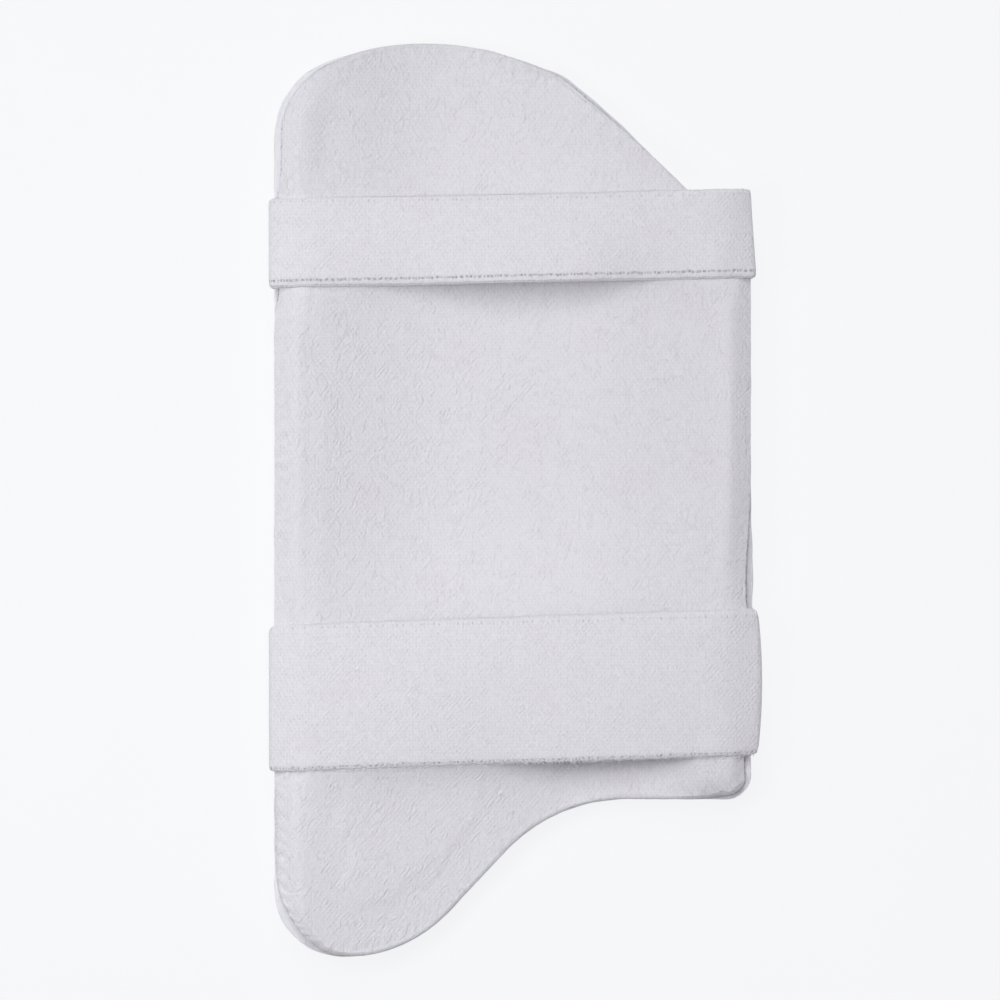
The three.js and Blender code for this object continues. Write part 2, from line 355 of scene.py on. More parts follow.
@dataclass(frozen=True)
class PadLevels:
    """Heights of the faces and of the seam across the pad. All of them rise towards the sides."""

    inner_middle: float = 12.8
    inner_ridge: float = 28.0
    inner_power: float = 2.4
    ridge_at: float = 92.0
    seam_middle: float = 9.0
    seam_side: float = 18.4
    seam_side_at: float = 104.0
    rest_half_width: float = 24.0
    outer_curl: float = 0.0025

    def inner(self, x: Array) -> Array:
        """Face towards the leg, a trough that rises to the ridges by a power of the distance."""
        share = np.abs(x / self.ridge_at) ** self.inner_power
        return self.inner_middle + (self.inner_ridge - self.inner_middle) * share

    def outer(self, x: Array) -> Array:
        """Face towards the ball: flat in the middle, a parabola beyond the part that rests."""
        return self.outer_curl * np.maximum(0.0, np.abs(x) - self.rest_half_width) ** 2

    def seam(self, x: Array) -> Array:
        """Seam between the panels: a parabola across the pad."""
        return self.seam_middle + (self.seam_side - self.seam_middle) * (x / self.seam_side_at) ** 2


OUTLINE = PadOutline()
LEVELS = PadLevels()


# Nodes of the materials


class NodeSheet:
    """Short ways to add and join the nodes of one tree."""

    def __init__(self, tree: Tree) -> None:
        """Starts on a tree that may hold nodes already."""
        self.tree = tree

    def add(
        self, kind: str, inputs: dict[str | int, object] | None = None, **settings: object
    ) -> bpy.types.Node:
        """Adds a node.

        Args:
            kind: Node type.
            inputs: Values or sockets for its inputs, by name or number.
            settings: Properties of the node.

        Returns:
            The node.
        """
        node = self.tree.nodes.new(kind)
        for name, value in settings.items():
            setattr(node, name, value)
        for name, value in (inputs or {}).items():
            self.feed(node.inputs[name], value)
        return node

    def feed(self, socket: Socket, value: object) -> None:
        """Joins a socket to an input, or sets the input's own value."""
        if isinstance(value, Socket):
            self.tree.links.new(value, socket)
        else:
            socket.default_value = value

    def math(self, operation: str, *values: object) -> Socket:
        """Result of a Math node."""
        node = self.add("ShaderNodeMath", dict(enumerate(values)), operation=operation)
        return node.outputs[0]

    def vector(self, operation: str, *values: object) -> Socket:
        """Vector result of a Vector Math node."""
        node = self.add("ShaderNodeVectorMath", dict(enumerate(values)), operation=operation)
        return node.outputs[0]

    def ramp(
        self, value: object, start: float, end: float, low: float = 0.0, high: float = 1.0
    ) -> Socket:
        """Value eased from low at start to high at end."""
        inputs = {"Value": value, "From Min": start, "From Max": end, "To Min": low, "To Max": high}
        return self.add("ShaderNodeMapRange", inputs, interpolation_type="SMOOTHSTEP").outputs[0]

    def noise(self, vector: object, scale: float, detail: float = 2.0, roughness: float = 0.5) -> Socket:
        """Value of a noise texture, about 0.5 in the middle."""
        inputs = {"Vector": vector, "Scale": scale, "Detail": detail, "Roughness": roughness}
        return self.add("ShaderNodeTexNoise", inputs).outputs[0]

    def bent(self, vector: object, scale: float, detail: float, amount: float) -> Socket:
        """Vector shifted in X and Y by the colour of a noise."""
        noise = self.add("ShaderNodeTexNoise", {"Vector": vector, "Scale": scale, "Detail": detail})
        return self.vector("MULTIPLY_ADD", noise.outputs["Color"], (amount, amount, 0.0), vector)

    def turned(self, vector: object, angle: object) -> Socket:
        """Vector turned about Z by an angle in radians."""
        inputs = {"Vector": vector, "Angle": angle}
        return self.add("ShaderNodeVectorRotate", inputs, rotation_type="Z_AXIS").outputs[0]

    def total(self, start: object, *parts: tuple[object, float]) -> Socket:
        """Sum of a start and of values times their weights."""
        for value, weight in parts:
            start = self.math("MULTIPLY_ADD", value, weight, start)
        return start

    def wave(self, value: object, pitch: float) -> Socket:
        """Sine of a length, one turn for each pitch."""
        return self.math("SINE", self.math("MULTIPLY", value, 2.0 * math.pi / pitch))


def new_group(
    name: str, inputs: tuple[str, ...], outputs: tuple[str, ...]
) -> tuple[Tree, NodeSheet, dict]:
    """Starts a shader node group.

    Args:
        name: Name of the group.
        inputs: Names of the inputs, all plain values but the one called Vector.
        outputs: Names of the outputs, all plain values.

    Returns:
        The group, a sheet to add its nodes with, and its input sockets by name. The output
        sockets are under "out" in the same table.
    """
    tree = bpy.data.node_groups.new(name, "ShaderNodeTree")
    for label in inputs:
        kind = "NodeSocketVector" if label == "Vector" else "NodeSocketFloat"
        tree.interface.new_socket(label, in_out="INPUT", socket_type=kind)
    for label in outputs:
        tree.interface.new_socket(label, in_out="OUTPUT", socket_type="NodeSocketFloat")
    sheet = NodeSheet(tree)
    taken = {socket.name: socket for socket in sheet.add("NodeGroupInput").outputs if socket.name}
    given = sheet.add("NodeGroupOutput")
    return tree, sheet, taken | {"out": given.inputs}


def weave_group() -> Tree:
    """Woven cloth: warp and weft as cos(x) + cos(y), and the uneven grain of the yarn about zero."""
    tree, sheet, ports = new_group("woven_cloth", ("Vector", "Pitch"), ("Threads", "Grain"))
    parts = sheet.add("ShaderNodeSeparateXYZ", {0: ports["Vector"]}).outputs
    turn = sheet.math("DIVIDE", 2.0 * math.pi, ports["Pitch"])
    warp, weft = (sheet.math("COSINE", sheet.math("MULTIPLY", parts[k], turn)) for k in (0, 1))
    sheet.feed(ports["out"]["Threads"], sheet.math("ADD", warp, weft))
    lie = sheet.vector("MULTIPLY", sheet.turned(ports["Vector"], math.radians(GRAIN_LIE)), GRAIN_STRETCH)
    fine = sheet.noise(lie, scale=1120.0, detail=1.0, roughness=0.6)
    coarse = sheet.noise(lie, scale=420.0, detail=0.0)
    coarse_share, mean = 0.08, 0.54
    yarn = sheet.math("MULTIPLY_ADD", coarse, coarse_share, fine)
    sheet.feed(ports["out"]["Grain"], sheet.math("SUBTRACT", yarn, mean))
    return tree


def crease_space(sheet: NodeSheet, ports: dict, scale: float, amount: float) -> tuple[Socket, Socket]:
    """Places turned to the lie of creases that a noise bends, plain and in lengths and widths of a crease.

    Args:
        sheet: Sheet of the group.
        ports: Its inputs, with Vector, Angle, Length and Width.
        scale: Scale of the noise.
        amount: How far it shifts a place, in metres.

    Returns:
        The turned places, and the same counted in lengths and widths.
    """
    turned = sheet.turned(sheet.bent(ports["Vector"], scale, 1.0, amount), ports["Angle"])
    size = sheet.add("ShaderNodeCombineXYZ", {0: ports["Length"], 1: ports["Width"], 2: 1.0}).outputs[0]
    return turned, sheet.vector("DIVIDE", turned, size)


def crease_group() -> Tree:
    """Short creases of one lie: stretched cells of which a share hold a sunk dash with raised sides."""
    inputs = ("Vector", "Angle", "Length", "Width", "Share")
    tree, sheet, ports = new_group("short_creases", inputs, ("Mask",))
    _, scaled = crease_space(sheet, ports, scale=160.0, amount=0.003)
    cells = sheet.add("ShaderNodeTexVoronoi", {"Vector": scaled, "Scale": 1.0}, voronoi_dimensions="2D")
    distance, raised = cells.outputs["Distance"], 0.25
    sides = sheet.ramp(distance, start=0.30, end=0.65, low=1.0, high=0.0)
    near = sheet.ramp(distance, start=0.05, end=0.42, low=1.0, high=0.0)
    near = sheet.math("MULTIPLY_ADD", sides, -raised, near)
    pick = sheet.add("ShaderNodeSeparateColor", {0: cells.outputs["Color"]}).outputs[0]
    kept = sheet.math("LESS_THAN", pick, ports["Share"])
    sheet.feed(ports["out"]["Mask"], sheet.math("MULTIPLY", near, kept))
    return tree


def crinkle_group() -> Tree:
    """Fine crinkles of one lie: sunk lines with raised sides, where a stretched noise is at its middle."""
    tree, sheet, ports = new_group("fine_crinkles", ("Vector", "Angle", "Length", "Width"), ("Line",))
    turned, scaled = crease_space(sheet, ports, scale=150.0, amount=0.004)
    folds = sheet.noise(scaled, scale=1.0, detail=0.4)
    off, raised = sheet.math("ABSOLUTE", sheet.math("SUBTRACT", folds, 0.5)), 0.30
    sides = sheet.ramp(off, start=0.05, end=0.22, low=1.0, high=0.0)
    line = sheet.ramp(off, start=0.0, end=0.08, low=1.0, high=0.0)
    line = sheet.math("MULTIPLY_ADD", sides, -raised, line)
    aside = sheet.vector("ADD", turned, (0.3, 0.7, 0.0))
    patches = sheet.ramp(sheet.noise(aside, scale=120.0, detail=1.0), start=0.46, end=0.60)
    sheet.feed(ports["out"]["Line"], sheet.math("MULTIPLY", line, patches))
    return tree


def mottle_group() -> Tree:
    """Slow unevenness of a white cloth: two sizes of noise about zero, and warm and cool areas."""
    tree, sheet, ports = new_group("cloth_mottle", ("Vector",), ("Tone", "Warm", "Cool"))
    broad = sheet.noise(ports["Vector"], scale=18.0)
    small = sheet.noise(ports["Vector"], scale=140.0, detail=3.0)
    total = sheet.math("ADD", broad, small)
    sheet.feed(ports["out"]["Tone"], sheet.math("SUBTRACT", total, 1.0))
    areas = sheet.noise(ports["Vector"], scale=42.0)
    sheet.feed(ports["out"]["Warm"], sheet.ramp(areas, start=0.55, end=0.75))
    sheet.feed(ports["out"]["Cool"], sheet.ramp(areas, start=0.45, end=0.25))
    return tree


def knit_group() -> Tree:
    """Uneven loops of a cloth: the mean of a wave that slants one way and one that slants back.

    The first is cos(along / course + across / wale), the second cos(across / turn - along / course),
    and a noise makes them stronger in some places than in others.
    """
    inputs = ("Along", "Across", "Course", "Wale", "Turn")
    tree, sheet, ports = new_group("slanting_knit", inputs, ("Loops",))
    place = sheet.add("ShaderNodeCombineXYZ", {0: ports["Along"], 1: ports["Across"]}).outputs[0]
    moved = sheet.bent(place, scale=240.0, detail=2.0, amount=0.0017)
    parts = sheet.add("ShaderNodeSeparateXYZ", {0: moved}).outputs
    course = sheet.math("DIVIDE", parts[0], ports["Course"])
    there = sheet.math("ADD", sheet.math("DIVIDE", parts[1], ports["Wale"]), course)
    back = sheet.math("SUBTRACT", sheet.math("DIVIDE", parts[1], ports["Turn"]), course)
    waves = [sheet.math("COSINE", sheet.math("MULTIPLY", phase, 2.0 * math.pi)) for phase in (there, back)]
    loops = sheet.total(0.0, *((wave, 0.5) for wave in waves))
    uneven = sheet.noise(place, scale=170.0, detail=1.0)
    patches = sheet.ramp(uneven, start=0.35, end=0.65, low=0.35, high=1.35)
    sheet.feed(ports["out"]["Loops"], sheet.math("MULTIPLY", loops, patches))
    return tree


def slit_group() -> Tree:
    """Row of small dark slits along an uneven line, where a noise along it is high; their darkness is painted
    shade inside the small holes.

    The lower the weight, the fewer and fainter the slits.
    """
    tree, sheet, ports = new_group("row_of_slits", ("Along", "Off", "Pitch", "Weight"), ("Mask",))
    jump, rarer, faintest = 0.0010, 0.10, 0.35
    pitches = sheet.math("DIVIDE", ports["Along"], ports["Pitch"])
    place = sheet.add("ShaderNodeCombineXYZ", {0: pitches}).outputs[0]
    aside = sheet.add("ShaderNodeCombineXYZ", {0: ports["Along"], 1: 1.0}).outputs[0]
    shift = sheet.math("MULTIPLY_ADD", sheet.noise(aside, scale=420.0, detail=0.0), jump, -jump / 2.0)
    off = sheet.math("ABSOLUTE", sheet.math("ADD", ports["Off"], shift))
    near = sheet.ramp(off, start=0.00020, end=0.00075, low=1.0, high=0.0)
    rare = sheet.math("MULTIPLY_ADD", ports["Weight"], rarer, -rarer)
    uneven = sheet.noise(place, scale=1.0, detail=1.0, roughness=0.6)
    dash = sheet.ramp(sheet.math("ADD", uneven, rare), start=0.41, end=0.59)
    strength = sheet.math("MULTIPLY_ADD", ports["Weight"], 1.0 - faintest, faintest)
    sheet.feed(ports["out"]["Mask"], sheet.math("MULTIPLY", sheet.math("MULTIPLY", near, dash), strength))
    return tree


@dataclass(frozen=True)
class Groups:
    """Node groups that the finishes share, each built once."""

    weave: Tree = field(default_factory=weave_group)
    creases: Tree = field(default_factory=crease_group)
    crinkles: Tree = field(default_factory=crinkle_group)
    mottle: Tree = field(default_factory=mottle_group)
    knit: Tree = field(default_factory=knit_group)
    slits: Tree = field(default_factory=slit_group)


class Finish:
    """A material under way: its sheet of nodes, its shader and where its patterns lie."""

    def __init__(self, name: str, roughness: float, sheen: float) -> None:
        """Makes the material with its shader.

        Args:
            name: Name of the material.
            roughness: Roughness of the whole surface.
            sheen: Weight of the soft sheen of fibres.
        """
        self.material = bpy.data.materials.new(name)
        self.material.use_nodes = True
        self.sheet = NodeSheet(self.material.node_tree)
        self.shader = self.material.node_tree.nodes["Principled BSDF"]
        self.shader.inputs["Roughness"].default_value = roughness
        self.shader.inputs["Sheen Weight"].default_value = sheen
        self.shader.inputs["Specular IOR Level"].default_value = 0.4
        self.place = self.sheet.add("ShaderNodeTexCoord").outputs["Object"]

    def group(self, tree: Tree, **inputs: object) -> bpy.types.Node:
        """Places a node group with its own values."""
        node = self.sheet.add("ShaderNodeGroup", node_tree=tree)
        for name, value in inputs.items():
            self.sheet.feed(node.inputs[name], value)
        return node

    def layer(self, name: str) -> Socket:
        """Value kept for each vertex under a name."""
        return self.sheet.add("ShaderNodeAttribute", attribute_name=name).outputs["Fac"]

    def mix(self, first: object, second: object, share: object, blend: str = "MIX") -> Socket:
        """Colour of a Mix node."""
        inputs = {0: share, 6: first, 7: second}
        return self.sheet.add("ShaderNodeMix", inputs, data_type="RGBA", blend_type=blend).outputs[2]

    def colour(
        self,
        pale: Triple,
        dark: Triple,
        share: object,
        mottle: bpy.types.Node | None = None,
    ) -> None:
        """Feeds the shader's colour.

        Args:
            pale: Colour where the share is 0.
            dark: Colour where the share is 1.
            share: How far pale has passed into dark.
            mottle: Mottle group whose areas are tinted, if any.
        """
        result = self.mix((*pale, 1.0), (*dark, 1.0), share)
        if mottle is not None:
            result = self.mix(result, WARM_TINT, mottle.outputs["Warm"], "MULTIPLY")
            result = self.mix(result, COOL_TINT, mottle.outputs["Cool"], "MULTIPLY")
        self.sheet.feed(self.shader.inputs["Base Color"], result)

    def relief(self, height: object, depth: float, strength: float) -> None:
        """Feeds the shader's normal: a height from 0 to 1 that stands for a depth in metres."""
        bump = self.sheet.add("ShaderNodeBump", {"Height": height, "Distance": depth, "Strength": strength})
        self.sheet.feed(self.shader.inputs["Normal"], bump.outputs[0])


@dataclass(frozen=True)
class CreaseDraw:
    """How the short creases of one lie are drawn: angle, cell length and width, share of cells."""

    angle: float
    length: float
    width: float
    share: float


@dataclass(frozen=True)
class CottonFinish:
    """White woven cotton that has shrunk and crinkled."""

    name: str
    pale: Triple = (0.831, 0.821, 0.868)
    dark: Triple = (0.580, 0.570, 0.620)
    crinkle: float = 1.0
    dashes: tuple[CreaseDraw, ...] = (
        CreaseDraw(-62.0, 0.0052, 0.0016, 0.045),
        CreaseDraw(-86.0, 0.0046, 0.0015, 0.045),
    )
    lines: tuple[CreaseDraw, ...] = (
        CreaseDraw(-58.0, 0.0095, 0.0038, 1.0),
        CreaseDraw(-84.0, 0.0100, 0.0036, 1.0),
    )

    def creases(self, finish: Finish, groups: Groups) -> tuple[Socket, Socket]:
        """Depths of the short dashes and of the fine lines, each in several lies.

        Args:
            finish: Material under way.
            groups: Node groups of the finishes.

        Returns:
            The two depths.
        """

        def drawn(tree: Tree, draw: CreaseDraw, **more: object) -> Socket:
            """First output of the creases of one lie."""
            inputs = {"Angle": math.radians(draw.angle), "Length": draw.length, "Width": draw.width}
            return finish.group(tree, Vector=finish.place, **inputs, **more).outputs[0]

        dashes = [
            (drawn(groups.creases, draw, Share=draw.share * self.crinkle), 1.0) for draw in self.dashes
        ]
        lines = [(drawn(groups.crinkles, draw), draw.share * self.crinkle) for draw in self.lines]
        return finish.sheet.total(0.0, *dashes), finish.sheet.total(0.0, *lines)

    def material(self, groups: Groups) -> Material:
        """Builds the material: weave, creases, slow unevenness, and painted shade: darker in the creases,
        lighter on their raised sides, and the panel's painted shade and light.
        """
        finish = Finish(self.name, roughness=0.65, sheen=0.05)
        sheet = finish.sheet
        weave = finish.group(groups.weave, Vector=finish.place, Pitch=WEAVE_PITCH)
        plan = sheet.add("ShaderNodeSeparateXYZ", {0: finish.place}).outputs
        loops = finish.group(groups.knit, Along=plan[0], Across=plan[1], **LOOP_SIZES).outputs["Loops"]
        dashes, lines = self.creases(finish, groups)
        mottle = finish.group(groups.mottle, Vector=finish.place)
        grain, threads = weave.outputs["Grain"], weave.outputs["Threads"]
        # The colour takes painted shade: darker in the creases and painted highlight on their raised sides,
        # and the panel's painted shade and light layer.
        tone = sheet.total(
            0.09,
            (grain, -0.63),
            (threads, -0.036),
            (loops, -0.076),
            (finish.layer("painted_shade"), 0.13),
            (dashes, 0.125),
            (lines, 0.155),
            (mottle.outputs["Tone"], 0.01),
        )
        finish.colour(self.pale, self.dark, tone, mottle)
        height = sheet.total(
            0.5, (grain, 0.85), (threads, 0.035), (loops, 0.24), (dashes, -0.58), (lines, -0.52)
        )
        finish.relief(height, depth=0.000225, strength=1.0)
        return finish.material


@dataclass(frozen=True)
class EdgeFinish:
    """Cotton of the sewn edge, with dark slits along its stitch line and a line of painted shade beside the
    panel.
    """

    name: str
    pale: Triple = (0.850, 0.840, 0.884)
    dark: Triple = (0.330, 0.322, 0.362)

    def material(self, groups: Groups) -> Material:
        """Builds the material: weave, dark slits along the stitch line, painted shade beside the panel, and
        the painted shade and light of the strip changes.
        """
        finish = Finish(self.name, roughness=0.65, sheen=0.05)
        sheet = finish.sheet
        weave = finish.group(groups.weave, Vector=finish.place, Pitch=WEAVE_PITCH)
        mottle = finish.group(groups.mottle, Vector=finish.place)
        slits = finish.group(
            groups.slits,
            Along=finish.layer("along"),
            Off=finish.layer("off_line"),
            Pitch=0.0020,
            Weight=finish.layer("slit_weight"),
        )
        # The slits sink in the relief and darken the colour: painted shade inside their small holes.
        sunk = slits.outputs["Mask"]
        # A line of painted shade beside the panel's rim.
        off_rim = sheet.math("ABSOLUTE", finish.layer("off_rim"))
        rim = sheet.ramp(off_rim, start=0.0002, end=0.0012, low=1.0, high=0.0)
        rim = sheet.math("MULTIPLY", rim, finish.layer("rim_painted_shade"))
        # The tone adds painted shade in the slits and beside the rim, and the painted shade and light of the
        # strip changes.
        tone = sheet.total(
            0.08,
            (weave.outputs["Grain"], -0.25),
            (mottle.outputs["Tone"], 0.05),
            (sunk, 0.60),
            (rim, 0.70),
            (finish.layer("painted_shade"), 1.0),
        )
        finish.colour(self.pale, self.dark, tone, mottle)
        height = sheet.total(0.5, (weave.outputs["Grain"], 0.8), (sunk, -0.8))
        finish.relief(height, depth=0.00016, strength=0.9)
        return finish.material


@dataclass(frozen=True)
class ElasticFinish:
    """White knitted elastic with a row of dark slits where the selvedge begins, and a line of painted contact
    shadow at the fold.
    """

    name: str
    pale: Triple = (0.844, 0.833, 0.882)
    dark: Triple = (0.370, 0.362, 0.402)

    def material(self, groups: Groups) -> Material:
        """Builds the material: knit, dark slits along the edge lines, a fold line painted dark as contact
        shadow, slow unevenness.
        """
        finish = Finish(self.name, roughness=0.65, sheen=0.05)
        sheet = finish.sheet
        along, across = finish.layer("along"), finish.layer("across")
        knit = finish.group(groups.knit, Along=along, Across=across, **LOOP_SIZES)
        weave = finish.group(groups.weave, Vector=finish.place, Pitch=WEAVE_PITCH)
        slits = finish.group(
            groups.slits,
            Along=along,
            Off=finish.layer("off_line"),
            Pitch=0.0013,
            Weight=finish.layer("slit_weight"),
        )
        # The slits sink in the relief and darken the colour: painted shade inside their small holes.
        sunk = slits.outputs["Mask"]
        # The fold line near the lower edge is sunk in the relief; its dark colour is painted contact shadow
        # where the strap meets the pad.
        off_shade_line = sheet.math("ABSOLUTE", finish.layer("off_shade_line"))
        fold = sheet.ramp(off_shade_line, start=0.00005, end=0.0004, low=1.0, high=0.0)
        mottle = finish.group(groups.mottle, Vector=finish.place)
        grain, threads, loops = weave.outputs["Grain"], weave.outputs["Threads"], knit.outputs["Loops"]
        tone = sheet.total(
            0.08,
            (grain, -0.44),
            (threads, -0.024),
            (loops, -0.048),
            (mottle.outputs["Tone"], 0.015),
            (sunk, 0.66),
            (fold, 0.45),
        )
        finish.colour(self.pale, self.dark, tone, mottle)
        height = sheet.total(0.5, (grain, 0.8), (threads, 0.05), (loops, 0.22), (sunk, -0.9))
        finish.relief(height, depth=0.00033, strength=1.0)
        return finish.material


@dataclass(frozen=True)
class HookTapeFinish:
    """Stiff tape with rows of small hooks."""

    name: str
    pale: Triple = (0.760, 0.755, 0.780)
    dark: Triple = (0.520, 0.515, 0.545)
    row: float = 0.0016

    def material(self, groups: Groups) -> Material:
        """Builds the material: rows of hooks as round bumps, and slow unevenness."""
        finish = Finish(self.name, roughness=0.6, sheen=0.0)
        sheet = finish.sheet
        parts = sheet.add("ShaderNodeSeparateXYZ", {0: finish.place}).outputs
        hooks = sheet.math("MULTIPLY", *(sheet.wave(parts[k], self.row) for k in (0, 1)))
        mottle = finish.group(groups.mottle, Vector=finish.place)
        tone = sheet.total(0.35, (hooks, -0.3), (mottle.outputs["Tone"], 0.2))
        finish.colour(self.pale, self.dark, tone)
        finish.relief(sheet.total(0.5, (hooks, 0.5)), depth=0.0004, strength=0.8)
        return finish.material


@dataclass(frozen=True)
class ThreadFinish:
    """White twisted sewing thread."""

    name: str
    pale: Triple = (0.800, 0.792, 0.835)
    dark: Triple = (0.500, 0.490, 0.540)
    twist: float = 0.0007

    def material(self, groups: Groups) -> Material:
        """Builds the material: the twist of the plies as slanted bands, and slow unevenness."""
        finish = Finish(self.name, roughness=0.7, sheen=0.1)
        sheet = finish.sheet
        parts = sheet.add("ShaderNodeSeparateXYZ", {0: finish.place}).outputs
        slant = sheet.math("ADD", parts[0], sheet.total(parts[2], (parts[1], 0.8)))
        plies = sheet.wave(slant, self.twist)
        mottle = finish.group(groups.mottle, Vector=finish.place)
        tone = sheet.total(0.16, (plies, 0.12), (mottle.outputs["Tone"], 0.3))
        finish.colour(self.pale, self.dark, tone)
        finish.relief(sheet.total(0.5, (plies, 0.5)), depth=0.00008, strength=0.8)
        return finish.material


# Crinkle of the cotton


@dataclass(frozen=True)
class CreaseLie:
    """Creases that share a lie: their angle, half length, half width, depth and number per square cm."""

    angle: float
    length: float
    width: float
    depth: float
    density: float


@dataclass(frozen=True)
class Span:
    """Way from one place to another, over which a share eases from 0 to 1."""

    start: float
    end: float

    def share(self, value: Array) -> Array:
        """Shares at places along the way."""
        return smooth_share(value, self.start, self.end)


@dataclass(frozen=True)
class Bell:
    """Bell about a place: its middle, reach and height."""

    middle: float
    reach: float
    height: float

    def at(self, value: Array) -> Array:
        """Heights at places."""
        return self.height * hump(value - self.middle, self.reach)


@dataclass(frozen=True)
class Mark:
    """Crease, hollow or patch of painted shade of its own: its middle, angle, reach along and across it, and
    depth.
    """

    x: float
    y: float
    angle: float
    length: float
    width: float
    depth: float

    def turned(self, x: Array, y: Array) -> tuple[Array, Array]:
        """Distances of places from the middle, along the mark and across it."""
        angle = math.radians(self.angle)
        along = (x - self.x) * math.cos(angle) + (y - self.y) * math.sin(angle)
        return along, (y - self.y) * math.cos(angle) - (x - self.x) * math.sin(angle)

    def soft(self, x: Array, y: Array) -> Array:
        """Depths of a hollow, or strength of a patch of painted shade: a bell along the mark times a bell
        across it.
        """
        along, across = self.turned(x, y)
        return self.depth * hump(along, self.length) * hump(across, self.width)

    def groove(self, x: Array, y: Array) -> Array:
        """Depths of a crease with raised sides: (1 - v^2) exp(-v^2 / 2) across it, a bell along it."""
        along, across = self.turned(x, y)
        v = across / self.width
        return self.depth * (1.0 - v**2) * np.exp(-(v**2) / 2.0) * hump(along, self.length)


@dataclass(frozen=True)
class CrinkleField:
    """Height of crinkled cloth over the plane of the pad."""

    seed: int
    lies: tuple[CreaseLie, ...]
    sway: float = 0.028
    sway_reach: float = 9.0
    step: float = 0.45
    reach_x: float = 120.0
    reach_y: float = 214.0
    patch: float = 26.0
    bend: float = 1.1
    bend_reach: float = 3.1
    bend_turns: tuple[float, float] = (1.7, 1.4)
    bend_waves: tuple[float, float] = (9.0, 11.0)
    faintest: float = 0.3
    faint_power: float = 1.6
    mean_depth: float = 0.85
    depth_spread: float = 0.42
    depth_limits: tuple[float, float] = (0.2, 1.7)

    def heights(self) -> Array:
        """Field of creases: seeded pricks of each lie spread by a groove with raised sides.

        The groove of a prick is (1 - v^2) exp(-v^2 / 2) across it and exp(-u^2 / 2) along it, with
        u and v in half lengths and half widths. A slow noise makes some areas flatter than others,
        and a quicker one lets the whole cloth sway.

        Returns:
            Heights on a grid of the field's step, rows along Y.
        """
        draws = np.random.default_rng(self.seed)
        rows, columns = int(2 * self.reach_y / self.step), int(2 * self.reach_x / self.step)
        y = (np.fft.fftfreq(rows) * rows * self.step)[:, None]
        x = (np.fft.fftfreq(columns) * columns * self.step)[None, :]
        total = np.zeros((rows, columns))
        for lie in self.lies:
            chance = lie.density * self.step**2 / SQUARE_CM
            picked = draws.random(total.shape) < chance
            pricks = picked * draws.uniform(self.faintest, 1.0, total.shape) ** self.faint_power
            angle = math.radians(lie.angle)
            u = (x * math.cos(angle) + y * math.sin(angle)) / lie.length
            v = (y * math.cos(angle) - x * math.sin(angle)) / lie.width
            groove = (1.0 - v**2) * np.exp(-(v**2) / 2.0) * np.exp(-(u**2) / 2.0)
            total -= lie.depth * np.fft.irfft2(np.fft.rfft2(pricks) * np.fft.rfft2(groove), s=total.shape)

        def soft_noise(reach: float) -> Array:
            """Seeded noise under a bell of a reach, with a spread of 1."""
            white = np.fft.rfft2(draws.standard_normal((rows, columns)))
            soft = np.fft.irfft2(white * np.fft.rfft2(np.exp(-(x**2 + y**2) / reach**2)), s=total.shape)
            return soft / soft.std()

        uneven = np.clip(self.mean_depth + self.depth_spread * soft_noise(self.patch), *self.depth_limits)
        return total * uneven + self.sway * soft_noise(self.sway_reach)

    def sample(self, x: Array, y: Array) -> Array:
        """Heights at points of the plane, read between the four nearest places of the field.

        The points are first shifted by slow sines of each other, so that the creases bend.

        Args:
            x: First coordinates.
            y: Second coordinates.

        Returns:
            Heights in millimetres.
        """
        field_ = self.heights()
        turns = [turn * np.sin(v / wave) for turn, v, wave in zip(self.bend_turns, (x, y), self.bend_waves)]
        over_x = x + self.bend * np.sin(y / self.bend_reach + turns[0])
        over_y = y + self.bend * np.sin(x / self.bend_reach + turns[1])
        column, row = (over_x + self.reach_x) / self.step, (over_y + self.reach_y) / self.step
        i, j = np.floor(row).astype(int), np.floor(column).astype(int)
        i, j = np.clip(i, 0, field_.shape[0] - 2), np.clip(j, 0, field_.shape[1] - 2)
        down, over = row - i, column - j
        low = field_[i, j] * (1.0 - over) + field_[i, j + 1] * over
        high = field_[i + 1, j] * (1.0 - over) + field_[i + 1, j + 1] * over
        return low * (1.0 - down) + high * down


# Padded panels


@dataclass(frozen=True)
class Fall:
    """How a panel falls to the sewn edge: the strip of edge that shows, the bevel and its fullness."""

    strip: float
    bevel: float
    fullness: float


@dataclass(frozen=True)
class StripChange:
    """Place where the sewn edge differs from the rest of it.

    More of it shows there, the groove beside the panel is deeper with more painted shade in it, its slits are
    more and darker, it stands out of the outline, it has painted shade (painted light where the amount is
    below zero), or the panel above it has a higher nose and a wider bevel.
    """

    x: float
    y: float
    reach: float
    amount: float
    dark: float = 0.0
    slits: float = 0.0
    out: float = 0.0
    nose: float = 0.0
    bevel: float = 0.0
    paint_shade: float = 0.0


